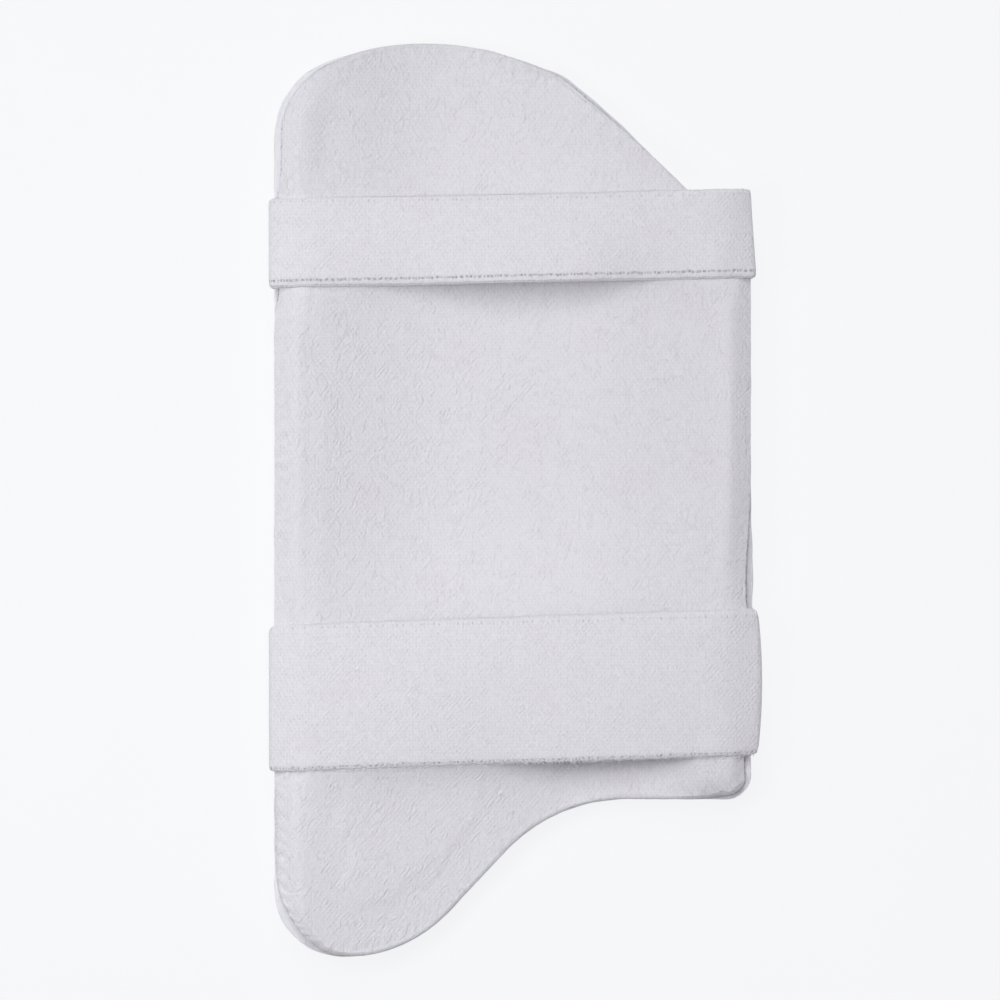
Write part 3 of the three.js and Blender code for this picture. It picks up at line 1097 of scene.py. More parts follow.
@dataclass(frozen=True)
class EdgeStrip:
    """The strip of sewn edge that shows beside the inner panel."""

    usual: float = 0.45
    usual_dark: float = 0.10
    usual_slits: float = 0.05
    changes: tuple[StripChange, ...] = (
        StripChange(-105.0, 150.0, 26.0, 3.3, slits=0.6, nose=1.2, paint_shade=0.08),
        StripChange(-92.0, 181.0, 20.0, 2.3, dark=0.35, nose=1.8, bevel=7.0, paint_shade=0.02),
        StripChange(-105.0, 92.0, 8.0, 2.2, dark=0.5, nose=1.2),
        StripChange(-97.0, -184.0, 20.0, 4.6, dark=0.60, nose=4.2, bevel=2.0, paint_shade=-0.10),
        StripChange(103.0, -36.0, 27.0, 2.4, dark=0.55, out=0.9, nose=1.7),
        StripChange(103.0, -114.0, 11.0, 2.6, dark=0.4),
        StripChange(94.0, -129.0, 12.0, 2.0, dark=0.15),
        StripChange(36.0, 170.0, 30.0, 1.1, out=0.3),
        StripChange(10.0, -160.0, 60.0, 0.0, dark=0.35),
    )

    def bells(self, points: Array, part: str) -> Array:
        """Sum of bells about the changes at points of the outline, as high as one part of each."""
        total = np.zeros(len(points))
        for change in self.changes:
            apart = np.hypot(points[:, 0] - change.x, points[:, 1] - change.y)
            total += getattr(change, part) * hump(apart, change.reach)
        return total

    def extra(self, points: Array) -> Array:
        """Extra width of the strip at points of the outline."""
        return self.bells(points, "amount")

    def dark(self, points: Array) -> Array:
        """How deep the groove beside the panel is and how much painted shade lies in it, at points of the
        outline.
        """
        return self.usual_dark + self.bells(points, "dark")

    def slits(self, points: Array) -> Array:
        """How many slits of the stitch line show and how deep and dark they are, at points of the outline."""
        return self.usual_slits + self.bells(points, "slits")

    def out(self, points: Array) -> Array:
        """How far the sewn edge stands out of the outline."""
        return self.bells(points, "out")


STRIP = EdgeStrip()


@dataclass(frozen=True)
class PanelGrid:
    """Points of a panel, rows from the seam's spine round the rim to the face's spine.

    Rows of the bevel have a way from 0 to 1, those of the face from 1 to 2, and those under the
    rim have none, which is marked by -1.
    """

    points: Array
    way: Array
    run: Array
    outset: Array


@dataclass(frozen=True)
class ShadePainting:
    """Painted shade and painted light on the cotton of the leg side.

    The colour is darkened as painted shade in the hollows beside the middle, on the bevels, in the flap,
    along the slanting end, in a corner and in a thin line at the rim of both ends, and lightened as painted
    light in the lower lobe.
    """

    hollow_in: Span = Span(22.0, 62.0)
    hollow_out: Span = Span(82.0, 94.0)
    hollow_low: Span = Span(-165.0, -115.0)
    left_bevel: Span = Span(88.0, 95.0)
    left_along: Bell = Bell(15.0, 85.0, 0.8)
    right_bevel: Span = Span(88.0, 94.0)
    right_along: Bell = Bell(-18.0, 38.0, 1.2)
    flap_across: Bell = Bell(-72.0, 34.0, 0.8)
    flap_low: Span = Span(115.0, 140.0)
    slant: Mark = Mark(30.0, 172.0, 0.0, 40.0, 40.0, 0.9)
    slant_rim: Bell = Bell(0.0, 6.5, 1.0)
    low_line: Span = Span(118.0, 132.0)
    low_line_right: Span = Span(58.0, 84.0)
    low_line_rim: Bell = Bell(0.0, 2.2, 4.0)
    high_line: Span = Span(150.0, 170.0)
    high_line_right: Span = Span(-10.0, 30.0)
    high_line_rim: Bell = Bell(0.0, 1.6, 1.0)
    corner: Mark = Mark(87.0, -126.5, 14.9, 12.0, 4.5, 4.2)
    lobe: Span = Span(105.0, 150.0)
    lobe_light: float = 0.25

    def shares(self, x: Array, y: Array, outset: Array) -> Array:
        """How much painted shade lies at places of a panel; below zero it is painted light.

        Args:
            x: First coordinates.
            y: Second coordinates.
            outset: Distances from the outline.

        Returns:
            Shares, with the same shape.
        """
        off = np.abs(x)
        hollow = self.hollow_in.share(off) * (1.0 - self.hollow_out.share(off)) * self.hollow_low.share(y)
        bevel = self.left_bevel.share(-x) * self.left_along.at(y)
        bevel = bevel + self.right_bevel.share(x) * self.right_along.at(y)
        flap = self.flap_across.at(x) * self.flap_low.share(y)
        slant = self.slant.soft(x, y) * self.slant_rim.at(outset)
        low = self.low_line.share(-y) * (1.0 - self.low_line_right.share(x)) * self.low_line_rim.at(outset)
        high = self.high_line.share(y) * (1.0 - self.high_line_right.share(x)) * self.high_line_rim.at(outset)
        # Painted light that lightens the lower lobe.
        lighter = self.lobe_light * self.lobe.share(-y)
        return hollow + bevel + flap + slant + low + high + self.corner.soft(x, y) - lighter


@dataclass
class PaddedPanel:
    """One padded panel: cotton drawn over foam, sewn down all round."""

    name: str
    node: str
    slot: str
    facing: Facing
    side: Fall
    end: Fall
    material: Material
    crinkle: CrinkleField
    creases: tuple[Mark, ...] = ()
    dents: tuple[Mark, ...] = ()
    shade_painting: ShadePainting | None = None
    straps: tuple["Strap", ...] = ()
    ridge_passes: int = 40
    ridge_rows: float = 10.0
    left_round: float = 0.13
    right_round: float = 0.26
    round_across: Span = Span(-60.0, 60.0)
    most_round: float = 0.95
    round_corners: tuple[tuple[float, float], ...] = ((-80.0, 182.0), (92.0, -120.0))
    corner_round: float = 0.8
    corner_reach: float = 22.0
    half_columns: int = 416
    bevel_rows: int = 20
    face_rows: int = 84
    sim_half_columns: int = 104
    sim_bevel_rows: int = 6
    sim_face_rows: int = 18
    sim_frames: int = 20
    sim_hold: Span = Span(0.1, 1.15)
    swell_cap: float = 0.4
    swell_from: Span = Span(0.4, 1.25)
    pressure: float = 4.0
    fill: float = 0.85
    nose: float = 2.4
    end_nose: float = 0.6
    end_drop: float = 2.0
    nose_low: float = 0.35
    least_blend: float = 0.01
    rim_tuck: float = 0.25
    bevel_crowd: float = 1.5
    gap: float = 0.3
    seam_half: float = 1.1
    recess: float = 5.3
    extra_fade: float = 0.65
    side_blend: Span = Span(12.0, 45.0)
    spine_low: tuple[float, float] = (-30.0, -95.0)
    spine_high: tuple[float, float] = (-12.0, 130.0)
    crease_from: Span = Span(0.3, 4.0)
    pucker_pitch: float = 6.2
    pucker_sway: float = 2.5
    pucker_waves: tuple[float, ...] = (61.0, 37.0, 23.0)
    pucker_seed: int = 5
    pucker_band: Bell = Bell(4.5, 3.0, 0.22)

    def level(self, x: Array) -> Array:
        """Height of the panel's face across the pad."""
        return LEVELS.inner(x) if self.facing is Facing.LEG else LEVELS.outer(x)

    def spine(self, start: Array, end: Array, share: Array) -> Array:
        """Line up the face on which the columns of both sides end.

        A cubic between the spine's two ends, which it meets in line with the columns there.

        Args:
            start: Ridge point of the first column.
            end: Ridge point of the middle column.
            share: Shares of the way from the low end to the high one.

        Returns:
            Plan points, one for each share.
        """
        low, high = np.array(self.spine_low), np.array(self.spine_high)
        reach = np.linalg.norm(high - low)
        leave, arrive = reach * unit(low - start), reach * unit(end - high)
        rest = 1.0 - share
        ends = low * rest**2 * (1.0 + 2.0 * share) + high * share**2 * (1.0 + 2.0 * rest)
        return ends + leave * share * rest**2 - arrive * share**2 * rest

    def grid(self, half: int, bevel_rows: int, face_rows: int) -> PanelGrid:
        """Points of the closed panel.

        The bevel climbs from the rim by (1 - (1 - t)^f)^(1/f) of its height at a share t of its
        width, with f its fullness. The face runs straight in plan from the ridge to the spine at
        the height of the panel's level. Under the rim the panel has a recess for the sewn edge and
        a flat back at the seam.

        Args:
            half: Columns on each half of the outline.
            bevel_rows: Rows of the bevel.
            face_rows: Rows of the face.

        Returns:
            The grid of points.
        """
        up = self.facing.value
        at, run = OUTLINE.columns(half)
        count = 2 * half
        edge = OUTLINE.ring(at, 0.0, 0.0)
        inward = OUTLINE.inward(at)
        changed = 1.0 if self.facing is Facing.LEG else 0.0
        extra, wide = changed * STRIP.extra(edge), changed * STRIP.bells(edge, "bevel")

        def loop(share: float) -> Array:
            """Plan of the panel at a share of the bevel from its rim to its ridge."""
            insets = (fall.strip + share * fall.bevel for fall in (self.side, self.end))
            plain = OUTLINE.ring(at, *insets)
            return plain + inward * (extra * (1.0 - self.extra_fade * share) + wide * share)[:, None]

        ridge, rim = loop(1.0), loop(0.0)
        from_side = np.minimum(ridge[:, 0] - OUTLINE.left, OUTLINE.right - ridge[:, 0])
        blend = self.side_blend.share(from_side)
        fullness = self.side.fullness + (self.end.fullness - self.side.fullness) * blend
        seam_rim = LEVELS.seam(rim[:, 0]) + up * (self.seam_half + self.gap)
        nose = self.nose + (self.end_nose - self.nose) * blend + changed * STRIP.bells(edge, "nose")
        high = self.level(ridge[:, 0])
        drop = self.end_drop / np.maximum(blend, self.least_blend) ** 2
        nose = np.maximum(nose, up * (high - seam_rim) - drop)
        low = seam_rim + up * nose
        spine_share = np.minimum(np.arange(count), count - np.arange(count))[:, None] / half
        spine = self.spine(ridge[0], ridge[half], spine_share)

        def row(plan: Array, height: Array) -> Array:
            """Plan points with a height each."""
            return np.concatenate((plan, np.broadcast_to(height, (count,))[:, None]), axis=1)

        back = OUTLINE.ring(at, self.recess, self.recess)
        middle = 0.5 * (back + spine)
        rows = [row(flat, LEVELS.seam(flat[:, 0]) + up * self.gap / 2.0) for flat in (spine, middle, back)]
        rows.append(row(back, LEVELS.seam(back[:, 0]) + up * (self.seam_half + self.gap)))
        rows.append(row(rim + inward * self.rim_tuck, seam_rim))
        rows.append(row(rim, seam_rim + self.nose_low * up * nose))
        under = len(rows)
        bevel_way = np.linspace(0.0, 1.0, bevel_rows, endpoint=False)
        for way in bevel_way:
            share = way**self.bevel_crowd
            rise = (1.0 - (1.0 - share) ** fullness) ** (1.0 / fullness)
            rows.append(row(loop(share), low + (high - low) * rise))
        face_way = np.linspace(0.0, 1.0, face_rows + 1)
        for way in face_way:
            plan = ridge * (1.0 - way) + spine * way
            rows.append(row(plan, self.level(plan[:, 0])))
        ways = np.concatenate((np.full(under, -1.0), bevel_way, 1.0 + face_way))
        return PanelGrid(np.array(rows), ways, run, np.linalg.norm(np.array(rows)[..., :2] - edge, axis=-1))

    def rounded(self, grid: PanelGrid) -> Array:
        """Heights of the grid with the ridge between bevel and face rounded off.

        Each pass moves a height towards the mean of its neighbours in the rows beside it, by a
        bell about the ridge that is higher on the right than on the left, and highest at two corners.

        Args:
            grid: Points of the panel.

        Returns:
            Heights, rows by columns.
        """
        heights = grid.points[..., 2].copy()
        ridge = int(np.argmax(grid.way >= 1.0))
        near = hump(np.arange(len(heights)) - ridge, self.ridge_rows) * (grid.way > 0.0)
        rightness = self.round_across.share(grid.points[ridge, :, 0])
        much = self.left_round + (self.right_round - self.left_round) * rightness
        for corner in self.round_corners:
            apart = np.linalg.norm(grid.points[ridge, :, :2] - np.array(corner), axis=1)
            much = np.minimum(self.most_round, much + self.corner_round * hump(apart, self.corner_reach))
        share = near[1:-1, None] * much
        for _ in range(self.ridge_passes):
            mean = 0.5 * (heights[:-2] + heights[2:])
            heights[1:-1] += share * (mean - heights[1:-1])
        return heights

    def shell(self, grid: PanelGrid) -> tuple[Array, Array, Array]:
        """Closed mesh of a grid whose first and last rows fold onto their spines.

        Args:
            grid: Points of the panel.

        Returns:
            Vertices, faces, and the vertex number of each place of the grid.
        """
        rows, count = grid.points.shape[:2]
        half = count // 2
        fold = np.minimum(np.arange(count), count - np.arange(count))
        inner = half + 1 + np.arange((rows - 2) * count).reshape(rows - 2, count)
        ids = np.concatenate((fold[None], inner, (inner.max() + 1 + fold)[None]), axis=0)
        points = np.empty((ids.max() + 1, 3))
        points[ids] = grid.points
        return points, faces_outward(points, grid_faces(ids, loop_columns=True)), ids

    def swelling(self) -> tuple[PanelGrid, Array]:
        """Runs a cloth over a coarse copy of the panel, blown up from inside and sewn at the rim.

        Returns:
            The coarse grid and how far each of its points moved outwards, in millimetres.
        """
        grid = self.grid(self.sim_half_columns, self.sim_bevel_rows, self.sim_face_rows)
        points, faces, ids = self.shell(grid)
        cloth = put_mesh(f"{self.name}_cloth", points, faces)
        hold = cloth.vertex_groups.new(name="sewn")
        weights = 1.0 - self.sim_hold.share(grid.way)
        weight_of = np.ones(len(points))
        weight_of[ids] = np.broadcast_to(weights[:, None], ids.shape)
        for weight in np.unique(weight_of):
            hold.add(np.flatnonzero(weight_of == weight).tolist(), float(weight), "REPLACE")
        settings = cloth.modifiers.new("cloth", "CLOTH").settings
        settings.quality = 6
        settings.mass = 0.3
        settings.tension_stiffness = 12.0
        settings.compression_stiffness = 12.0
        settings.shear_stiffness = 4.0
        settings.bending_stiffness = 0.4
        settings.effector_weights.gravity = 0.0
        settings.use_pressure = True
        settings.uniform_pressure_force = self.pressure
        settings.shrink_min = -0.012
        settings.vertex_group_mass = hold.name
        settings.pin_stiffness = 1.0
        for step in range(self.sim_frames):
            bpy.context.scene.frame_set(step + 1)
        moved = cloth.evaluated_get(bpy.context.evaluated_depsgraph_get())
        after = read_points(moved.data)
        outwards = ((after - points) * vertex_normals(cloth.data)).sum(axis=1)
        bpy.context.scene.frame_set(1)
        bpy.data.objects.remove(cloth)
        return grid, outwards[ids]

    def swell_on(self, grid: PanelGrid) -> Array:
        """Swelling of the cloth carried over to a finer grid.

        The coarse moves, softly capped by cap * tanh(move / cap), are read between rows by their
        way and between columns by their share of the way round.

        Args:
            grid: The finer grid.

        Returns:
            Outward moves in millimetres, for each place of the grid.
        """
        coarse, moves = self.swelling()
        moves = self.swell_cap * np.tanh((moves - np.median(moves)) / self.swell_cap)
        kept = coarse.way >= 0.0
        way, moves = coarse.way[kept], moves[kept]
        total = np.concatenate((coarse.run, coarse.run[:1] + OUTLINE.lengths()[1][-1]))
        moves = np.concatenate((moves, moves[:, :1]), axis=1)
        across = np.stack([np.interp(grid.run, total, line) for line in moves])
        place = np.interp(grid.way, way, np.arange(len(way)))
        below = np.minimum(place.astype(int), len(way) - 2)
        share = (place - below)[:, None]
        mixed = across[below] * (1.0 - share) + across[below + 1] * share
        return mixed * self.swell_from.share(grid.way)[:, None]

    def crease_heights(self, x: Array, y: Array) -> Array:
        """Crinkle of the cloth, its single creases and dents, as heights above the smooth face."""
        total = self.crinkle.sample(x, y)
        for crease in self.creases:
            total -= crease.groove(x, y)
        for dent in self.dents:
            total -= dent.soft(x, y)
        return total

    def build(self) -> Piece:
        """Builds the panel: smooth grid, swelling of the cloth, puckers at the seam, crinkle."""
        grid = self.grid(self.half_columns, self.bevel_rows, self.face_rows)
        grid.points[..., 2] = self.rounded(grid)
        points, faces, ids = self.shell(grid)
        x, y = grid.points[..., 0], grid.points[..., 1]
        # Painted shade and painted light of the leg side, kept for each vertex for the cotton's colour.
        painted_shade = np.zeros(len(points))
        if self.shade_painting is not None:
            painted_shade[ids] = self.shade_painting.shares(x, y, grid.outset)
        piece = put_mesh(self.name, points, faces, {"painted_shade": painted_shade})
        shown = (grid.way >= 0.0)[:, None]
        moves = self.crease_heights(x, y) * self.crease_from.share(grid.outset) * shown
        moves = moves + self.swell_on(grid)
        sway = self.pucker_sway * wander(grid.run, self.pucker_waves, self.pucker_seed)
        ripple = np.sin(2.0 * math.pi * grid.run / self.pucker_pitch + sway)
        moves = moves + ripple * self.pucker_band.at(grid.outset) * shown
        normals = vertex_normals(piece.data)[ids]
        moved = grid.points + normals * moves[..., None]
        for strap in self.straps:
            moved[..., 2] += (strap.gather(moved) - strap.press(moved)) * shown
        moved[..., 2] = np.maximum(moved[..., 2], 0.0)
        points[ids] = moved
        piece.data.vertices.foreach_set("co", (points * MM).astype(np.float32).ravel())
        piece.data.update()
        piece.data.materials.append(self.material)
        hand_over(piece, (self.node,))
        return piece


# Sewn edge


@dataclass
class SewnEdge:
    """Flat sewn edge all round, with the stitches that hold the two panels together."""

    cloth: Material
    thread: Material
    columns: int = 820
    depth: float = 5.0
    thickness: float = 2.2
    lip: float = 1.5
    profile_points: int = 26
    stitch_pitch: float = 2.5
    stitch_length: float = 1.5
    stitch_radius: float = 0.2
    stitch_inset: float = 0.35
    stitch_least: float = 1.0
    draw_in: float = 0.05
    fold_lines: tuple[float, ...] = (0.9, 1.9)
    fold_depth: float = 0.12
    fold_width: float = 0.22
    groove_depth: float = 0.5
    groove_width: float = 0.5
    waver: float = 0.25
    waver_waves: tuple[float, ...] = (83.0, 41.0, 17.0)
    waver_seed: int = 11
    crowd: float = 1.6
    out_of_reach: float = 50.0
    stitch_waver: float = 0.08
    stitch_waves: tuple[float, ...] = (9.0, 5.3, 3.1)
    stitch_seed: int = 3
    stitch_rise: float = 0.75
    stitch_dip: float = 2.6
    stitch_stations: int = 6

    def rim_at(self, edge: Array) -> Array:
        """Distance from the outer line of the edge to the panel's rim, at points of the outline."""
        out = STRIP.out(edge)
        return (STRIP.usual + STRIP.extra(edge) + out) / (1.0 + out / self.depth)

    def surface(self, at: Array, run: Array, inset: Array, top: float) -> Array:
        """Points on one face of the edge, drawn in a little at each stitch.

        The half thickness is even inside and falls as sqrt(1 - ((lip - d) / lip)^2) over the lip,
        with d the distance from the outer line. Between stitches the face swells by a sine, fine
        grooves follow the outline where the cloth is folded, and a deeper one the panel's rim.

        Args:
            at: Places along the outline.
            run: Length of edge from the foot to each place.
            inset: Distance from the outer line, for each place.
            top: 1 for the face towards the leg, -1 for the other.

        Returns:
            Points, one for each place.
        """
        edge = OUTLINE.ring(at, 0.0, 0.0)
        moved = inset - STRIP.out(edge) * (1.0 - inset / self.depth)
        plan = edge + OUTLINE.inward(at) * moved[:, None]
        fall = np.sqrt(np.maximum(0.0, 1.0 - (np.maximum(0.0, self.lip - inset) / self.lip) ** 2))
        swell = np.cos(2.0 * math.pi * run / self.stitch_pitch) * self.draw_in
        folds = self.fold_depth * sum(hump(inset - line, self.fold_width) for line in self.fold_lines)
        beside = hump(inset - self.rim_at(edge), self.groove_width)
        folds = folds + self.groove_depth * STRIP.dark(edge) * beside
        half = (self.thickness / 2.0 - self.draw_in + swell - folds) * fall
        return np.concatenate((plan, (LEVELS.seam(plan[:, 0]) + top * half)[:, None]), axis=1)

    def build(self) -> list[Piece]:
        """Builds the edge and its stitches."""
        at, run = OUTLINE.columns(self.columns)
        uneven = self.waver * wander(run, self.waver_waves, self.waver_seed)
        depths = self.depth * np.linspace(1.0, 0.0, self.profile_points) ** self.crowd
        outline = OUTLINE.ring(at, 0.0, 0.0)
        rim = self.rim_at(outline)
        rows, offs = [], []
        for top, line in ((1.0, depths), (-1.0, depths[::-1][1:])):
            for depth in line:
                inset = depth + (uneven + self.waver) * (1.0 - depth / self.depth)
                rows.append(self.surface(at, run, inset, top))
                offs.append(inset - rim + (0.0 if top > 0 else self.out_of_reach))
        points = np.array(rows)
        ids = np.arange(points[..., 0].size).reshape(points.shape[:2])
        flat = points.reshape(-1, 3)
        # The layers carry the painted shade beside the rim and the painted shade and light of the strip
        # changes.
        layers = {
            "along": np.broadcast_to(run, ids.shape) * MM,
            "off_line": (np.array(offs) + self.stitch_inset) * MM,
            "off_rim": np.array(offs) * MM,
            "slit_weight": np.broadcast_to(STRIP.slits(outline), ids.shape),
            "rim_painted_shade": np.broadcast_to(STRIP.dark(outline), ids.shape),
            "painted_shade": np.broadcast_to(STRIP.bells(outline, "paint_shade"), ids.shape),
        }
        faces = faces_outward(flat, grid_faces(ids, loop_rows=True, loop_columns=True))
        edge = put_mesh("edge_binding_cloth", flat, faces, layers)
        edge.data.materials.append(self.cloth)
        hand_over(edge, ("edge_binding",))
        return [edge, self.stitches()]

    def stitches(self) -> Piece:
        """Builds the stitches: short round threads that dip into the cloth at both ends."""
        fine_at, fine_length = OUTLINE.lengths()
        count = int(fine_length[-1] / self.stitch_pitch)
        foot = np.interp(OUTLINE.foot_at, fine_at, fine_length)
        middle = (np.arange(count) + 0.5) * fine_length[-1] / count
        along = np.linspace(-0.5, 0.5, self.stitch_stations)
        run = middle[:, None] + along[None, :] * self.stitch_length
        at = np.interp((run + foot) % fine_length[-1], fine_length, fine_at)
        flat_at, flat_run = at.ravel(), run.ravel()
        rim = self.rim_at(OUTLINE.ring(flat_at, 0.0, 0.0))
        inset = np.maximum(rim - self.stitch_inset, self.stitch_least)
        inset = inset + self.stitch_waver * wander(flat_run, self.stitch_waves, self.stitch_seed)
        core = self.surface(flat_at, flat_run, inset, 1.0).reshape(count, len(along), 3)
        core[..., 2] += self.stitch_radius * (self.stitch_rise - self.stitch_dip * (2.0 * along) ** 4)
        return thread_piece("edge_stitches", core, self.stitch_radius, self.thread)


def thread_piece(
    name: str, core: Array, radius: float, material: Material, sides: int = 6
) -> Piece:
    """Builds many short round threads as one piece.

    Each thread is a ring of sides carried along its core, narrowed to a point at both ends by the
    fourth root of 1 - t^2, with t from -1 to 1 along it.

    Args:
        name: Name of the piece.
        core: Middle lines, threads by stations by 3.
        radius: Radius of the thread.
        material: Finish of the thread.
        sides: Sides of the ring.

    Returns:
        The piece.
    """
    count, stations = core.shape[:2]
    ahead = unit(np.gradient(core, axis=1))
    up = np.broadcast_to(np.array([0.0, 0.0, 1.0]), ahead.shape)
    beside = unit(np.cross(ahead, up))
    lift = np.cross(beside, ahead)
    t = np.linspace(-1.0, 1.0, stations)
    size = radius * np.maximum(1.0 - t**2, 0.0) ** 0.25
    angle = np.arange(sides) * 2.0 * math.pi / sides
    ring = beside[:, :, None] * np.cos(angle)[:, None] + lift[:, :, None] * np.sin(angle)[:, None]
    points = core[:, :, None] + ring * size[None, :, None, None]
    points[:, 0], points[:, -1] = core[:, :1], core[:, -1:]
    ids = np.arange(points[..., 0].size).reshape(count, stations, sides)
    ring_ids = np.concatenate((ids, ids[..., :1]), axis=2)
    corners = (ring_ids[:, :-1, :-1], ring_ids[:, :-1, 1:], ring_ids[:, 1:, 1:], ring_ids[:, 1:, :-1])
    flat = points.reshape(-1, 3)
    faces = faces_outward(flat, np.stack(corners, axis=-1).reshape(-1, 4))
    piece = put_mesh(name, flat, faces)
    weld(piece)
    piece.data.materials.append(material)
    hand_over(piece)
    return piece


def weld(piece: Piece) -> None:
    """Merges vertices of a piece that lie at the same place."""
    mesh = bmesh.new()
    mesh.from_mesh(piece.data)
    bmesh.ops.remove_doubles(mesh, verts=mesh.verts, dist=WELD_REACH * MM)
    mesh.to_mesh(piece.data)
    mesh.free()


# Elastic straps


@dataclass(frozen=True)
class Lean:
    """How much of the gap below a strap's lower edge is closed, from one place across the pad to another."""

    start: float
    end: float
    most: float


@dataclass
class Strap:
    """Elastic strap pulled round the pad, sewn on at its left end and hooked on at its right."""

    name: str
    middle: float
    width: float
    rise: float
    slack: float
    high_pull: float
    low_pull: float
    middle_pull: float
    high_corners: tuple[float, float]
    low_corners: tuple[float, float]
    high_line: tuple[float, float]
    low_line: tuple[float, float]
    high_slits: float
    low_slits: float
    low_fold_shade: float
    lean_left: Lean
    lean_right: Lean
    low_jag: float
    high_jag: float
    jag_waves: tuple[float, ...]
    seed: int
    elastic: Material
    thread: Material
    thickness: float = 1.7
    fit: float = 0.5
    loop_height: float = 1.6
    fold_lift: float = 5.5
    left_end: float = -70.0
    right_end: float = 64.0
    patch_to: float = 79.0
    patch_drop: float = 1.3
    inner_side: Fall = Fall(1.2, 10.0, 1.25)
    outer_side: Fall = Fall(1.6, 15.0, 1.7)
    bite: float = 1.8
    press_reach: float = 11.0
    press_gap: float = 0.2
    station: float = 0.6
    face_points: int = 46
    fold_reach: float = 9.0
    corner_reach: float = 3.6
    droop_share: float = 0.6
    droop_power: float = 1.5
    gather_share: float = 0.4
    gather_near: float = 1.0
    gather_fade: float = 8.0
    gather_far: float = 60.0
    nestle: float = 1.2
    high_droop: float = 0.40
    high_gather: float = 0.5
    gather_reach: float = 30.0
    rounding: float = 0.5
    edge_drop: float = 0.2
    edge_thin: float = 0.55
    thin_reach: float = 1.5
    fringe: float = 0.0
    fringe_pitch: float = 1.3
    fringe_radius: float = 0.13
    fringe_inset: float = 5.0
    fringe_jitter: tuple[float, float] = (0.1, 0.9)
    fringe_least: float = 0.2
    fringe_half: tuple[float, float] = (0.2, 0.5)
    fringe_root: float = 0.5
    fringe_sink: float = 0.25
    fringe_stations: int = 7
    section_points: int = 40
    hook_points: int = 12
    directions: int = 3600
    seam_clear: float = 2.2
    seam_drop: float = 0.4
    curl_inset: float = 17.0
    under_height: float = 8.0
    way_step: float = 0.4
    ease_steps: int = 24
    ease_bend: float = 1.6
    ease_flat: float = 4.5
    bend_across: Span = Span(93.0, 101.0)
    ridge_across: Span = Span(90.0, 100.0)
    over_least: float = 0.3
    flat_least: float = 0.9
    crowd: float = 0.6
    ripple: float = 0.10
    ripple_waves: tuple[float, ...] = (31.0, 19.0, 47.0)
    face_sink: float = 0.12
    back_sink: float = 0.07
    cord: Bell = Bell(1.1, 0.8, 0.05)
    slit_groove: Bell = Bell(0.0, 0.42, 0.15)
    fold_groove: Bell = Bell(0.0, 0.3, 0.15)
    box_from: float = 3.0
    box_to: float = 15.0
    box_inset: float = 5.0
    hems: tuple[float, float] = (3.0, 5.5)
    stitch_pitch: float = 2.6
    stitch_share: float = 0.66
    stitch_sink: float = 0.05
    stitch_dip: float = 0.35
    stitch_radius: float = 0.22
    stitch_stations: int = 6

    def __post_init__(self) -> None:
        """Works out the strap's way once."""
        self.length, self.line, self.outward = self.way()
        self.left_fold = self.length[np.argmin(self.line[:, 0])]
        self.right_fold = self.length[np.argmax(self.line[:, 0])]

    def section(self) -> Array:
        """Points of the pad's section in X and Z that the strap is pulled over."""
        share = np.linspace(0.0, 1.0, self.section_points)
        faces = ((self.inner_side, LEVELS.inner, 1.0), (self.outer_side, LEVELS.outer, -1.0))
        parts = []
        for side, toward in ((OUTLINE.left, -1.0), (OUTLINE.right, 1.0)):
            for fall, level, up in faces:
                rim = side - toward * fall.strip
                low = LEVELS.seam(rim) + up * self.seam_clear
                high = level(rim - toward * fall.bevel) - (self.bite if up > 0.0 else 0.0)
                rise = (1.0 - (1.0 - share) ** fall.fullness) ** (1.0 / fall.fullness)
                parts.append(np.stack((rim - toward * share * fall.bevel, low + (high - low) * rise), axis=1))
            seam = LEVELS.seam(side)
            parts.append(np.array([(side, seam + self.fold_lift), (side, seam - self.seam_drop)]))
            flat, curled = toward * LEVELS.rest_half_width, side - toward * self.curl_inset
            curl = np.linspace(flat, curled, self.section_points)
            parts.append(np.stack((curl, LEVELS.outer(curl)), axis=1))
        seam = LEVELS.seam(OUTLINE.right)
        loop = OUTLINE.right + self.slack
        parts.append(np.array([(loop, seam + self.fold_lift), (loop, seam - self.loop_height / 2.0)]))
        hook = np.linspace(self.right_end, self.patch_to, self.hook_points)
        parts.append(np.stack((hook, LEVELS.outer(hook) - self.patch_drop), axis=1))
        return np.concatenate(parts)

    def way(self) -> tuple[Array, Array, Array]:
        """Middle line of the strap in X and Z, pulled tight round the section.

        As the outward direction turns from down, past the left, up and right, to down again, the
        strap touches the point of the section that lies furthest that way, and its middle line
        lies a fit and half a thickness beyond it. The line is then eased over a few millimetres.

        Returns:
            Lengths along the strap, points of its middle line, and outward directions.
        """
        section = self.section()
        turn = np.linspace(0.0, 2.0 * math.pi, self.directions)
        outward = np.stack((-np.sin(turn), -np.cos(turn)), axis=1)
        touch = section[np.argmax(outward @ section.T, axis=1)]
        line = touch + outward * (self.fit + self.thickness / 2.0)
        between = (line[:, 0] > self.left_end) & (line[:, 0] < self.right_end)
        kept = ~((line[:, 1] < self.under_height) & between)
        line, outward = line[kept], outward[kept]
        steps = np.linalg.norm(np.diff(line, axis=0), axis=1)
        length = np.concatenate(([0.0], np.cumsum(np.maximum(steps, TINY))))
        even = np.arange(0.0, length[-1], self.way_step)
        line = np.stack([np.interp(even, length, line[:, k]) for k in (0, 1)], axis=1)
        outward = np.stack([np.interp(even, length, outward[:, k]) for k in (0, 1)], axis=1)
        flat = (1.0 - self.bend_across.share(np.abs(line[:, 0])))[:, None]

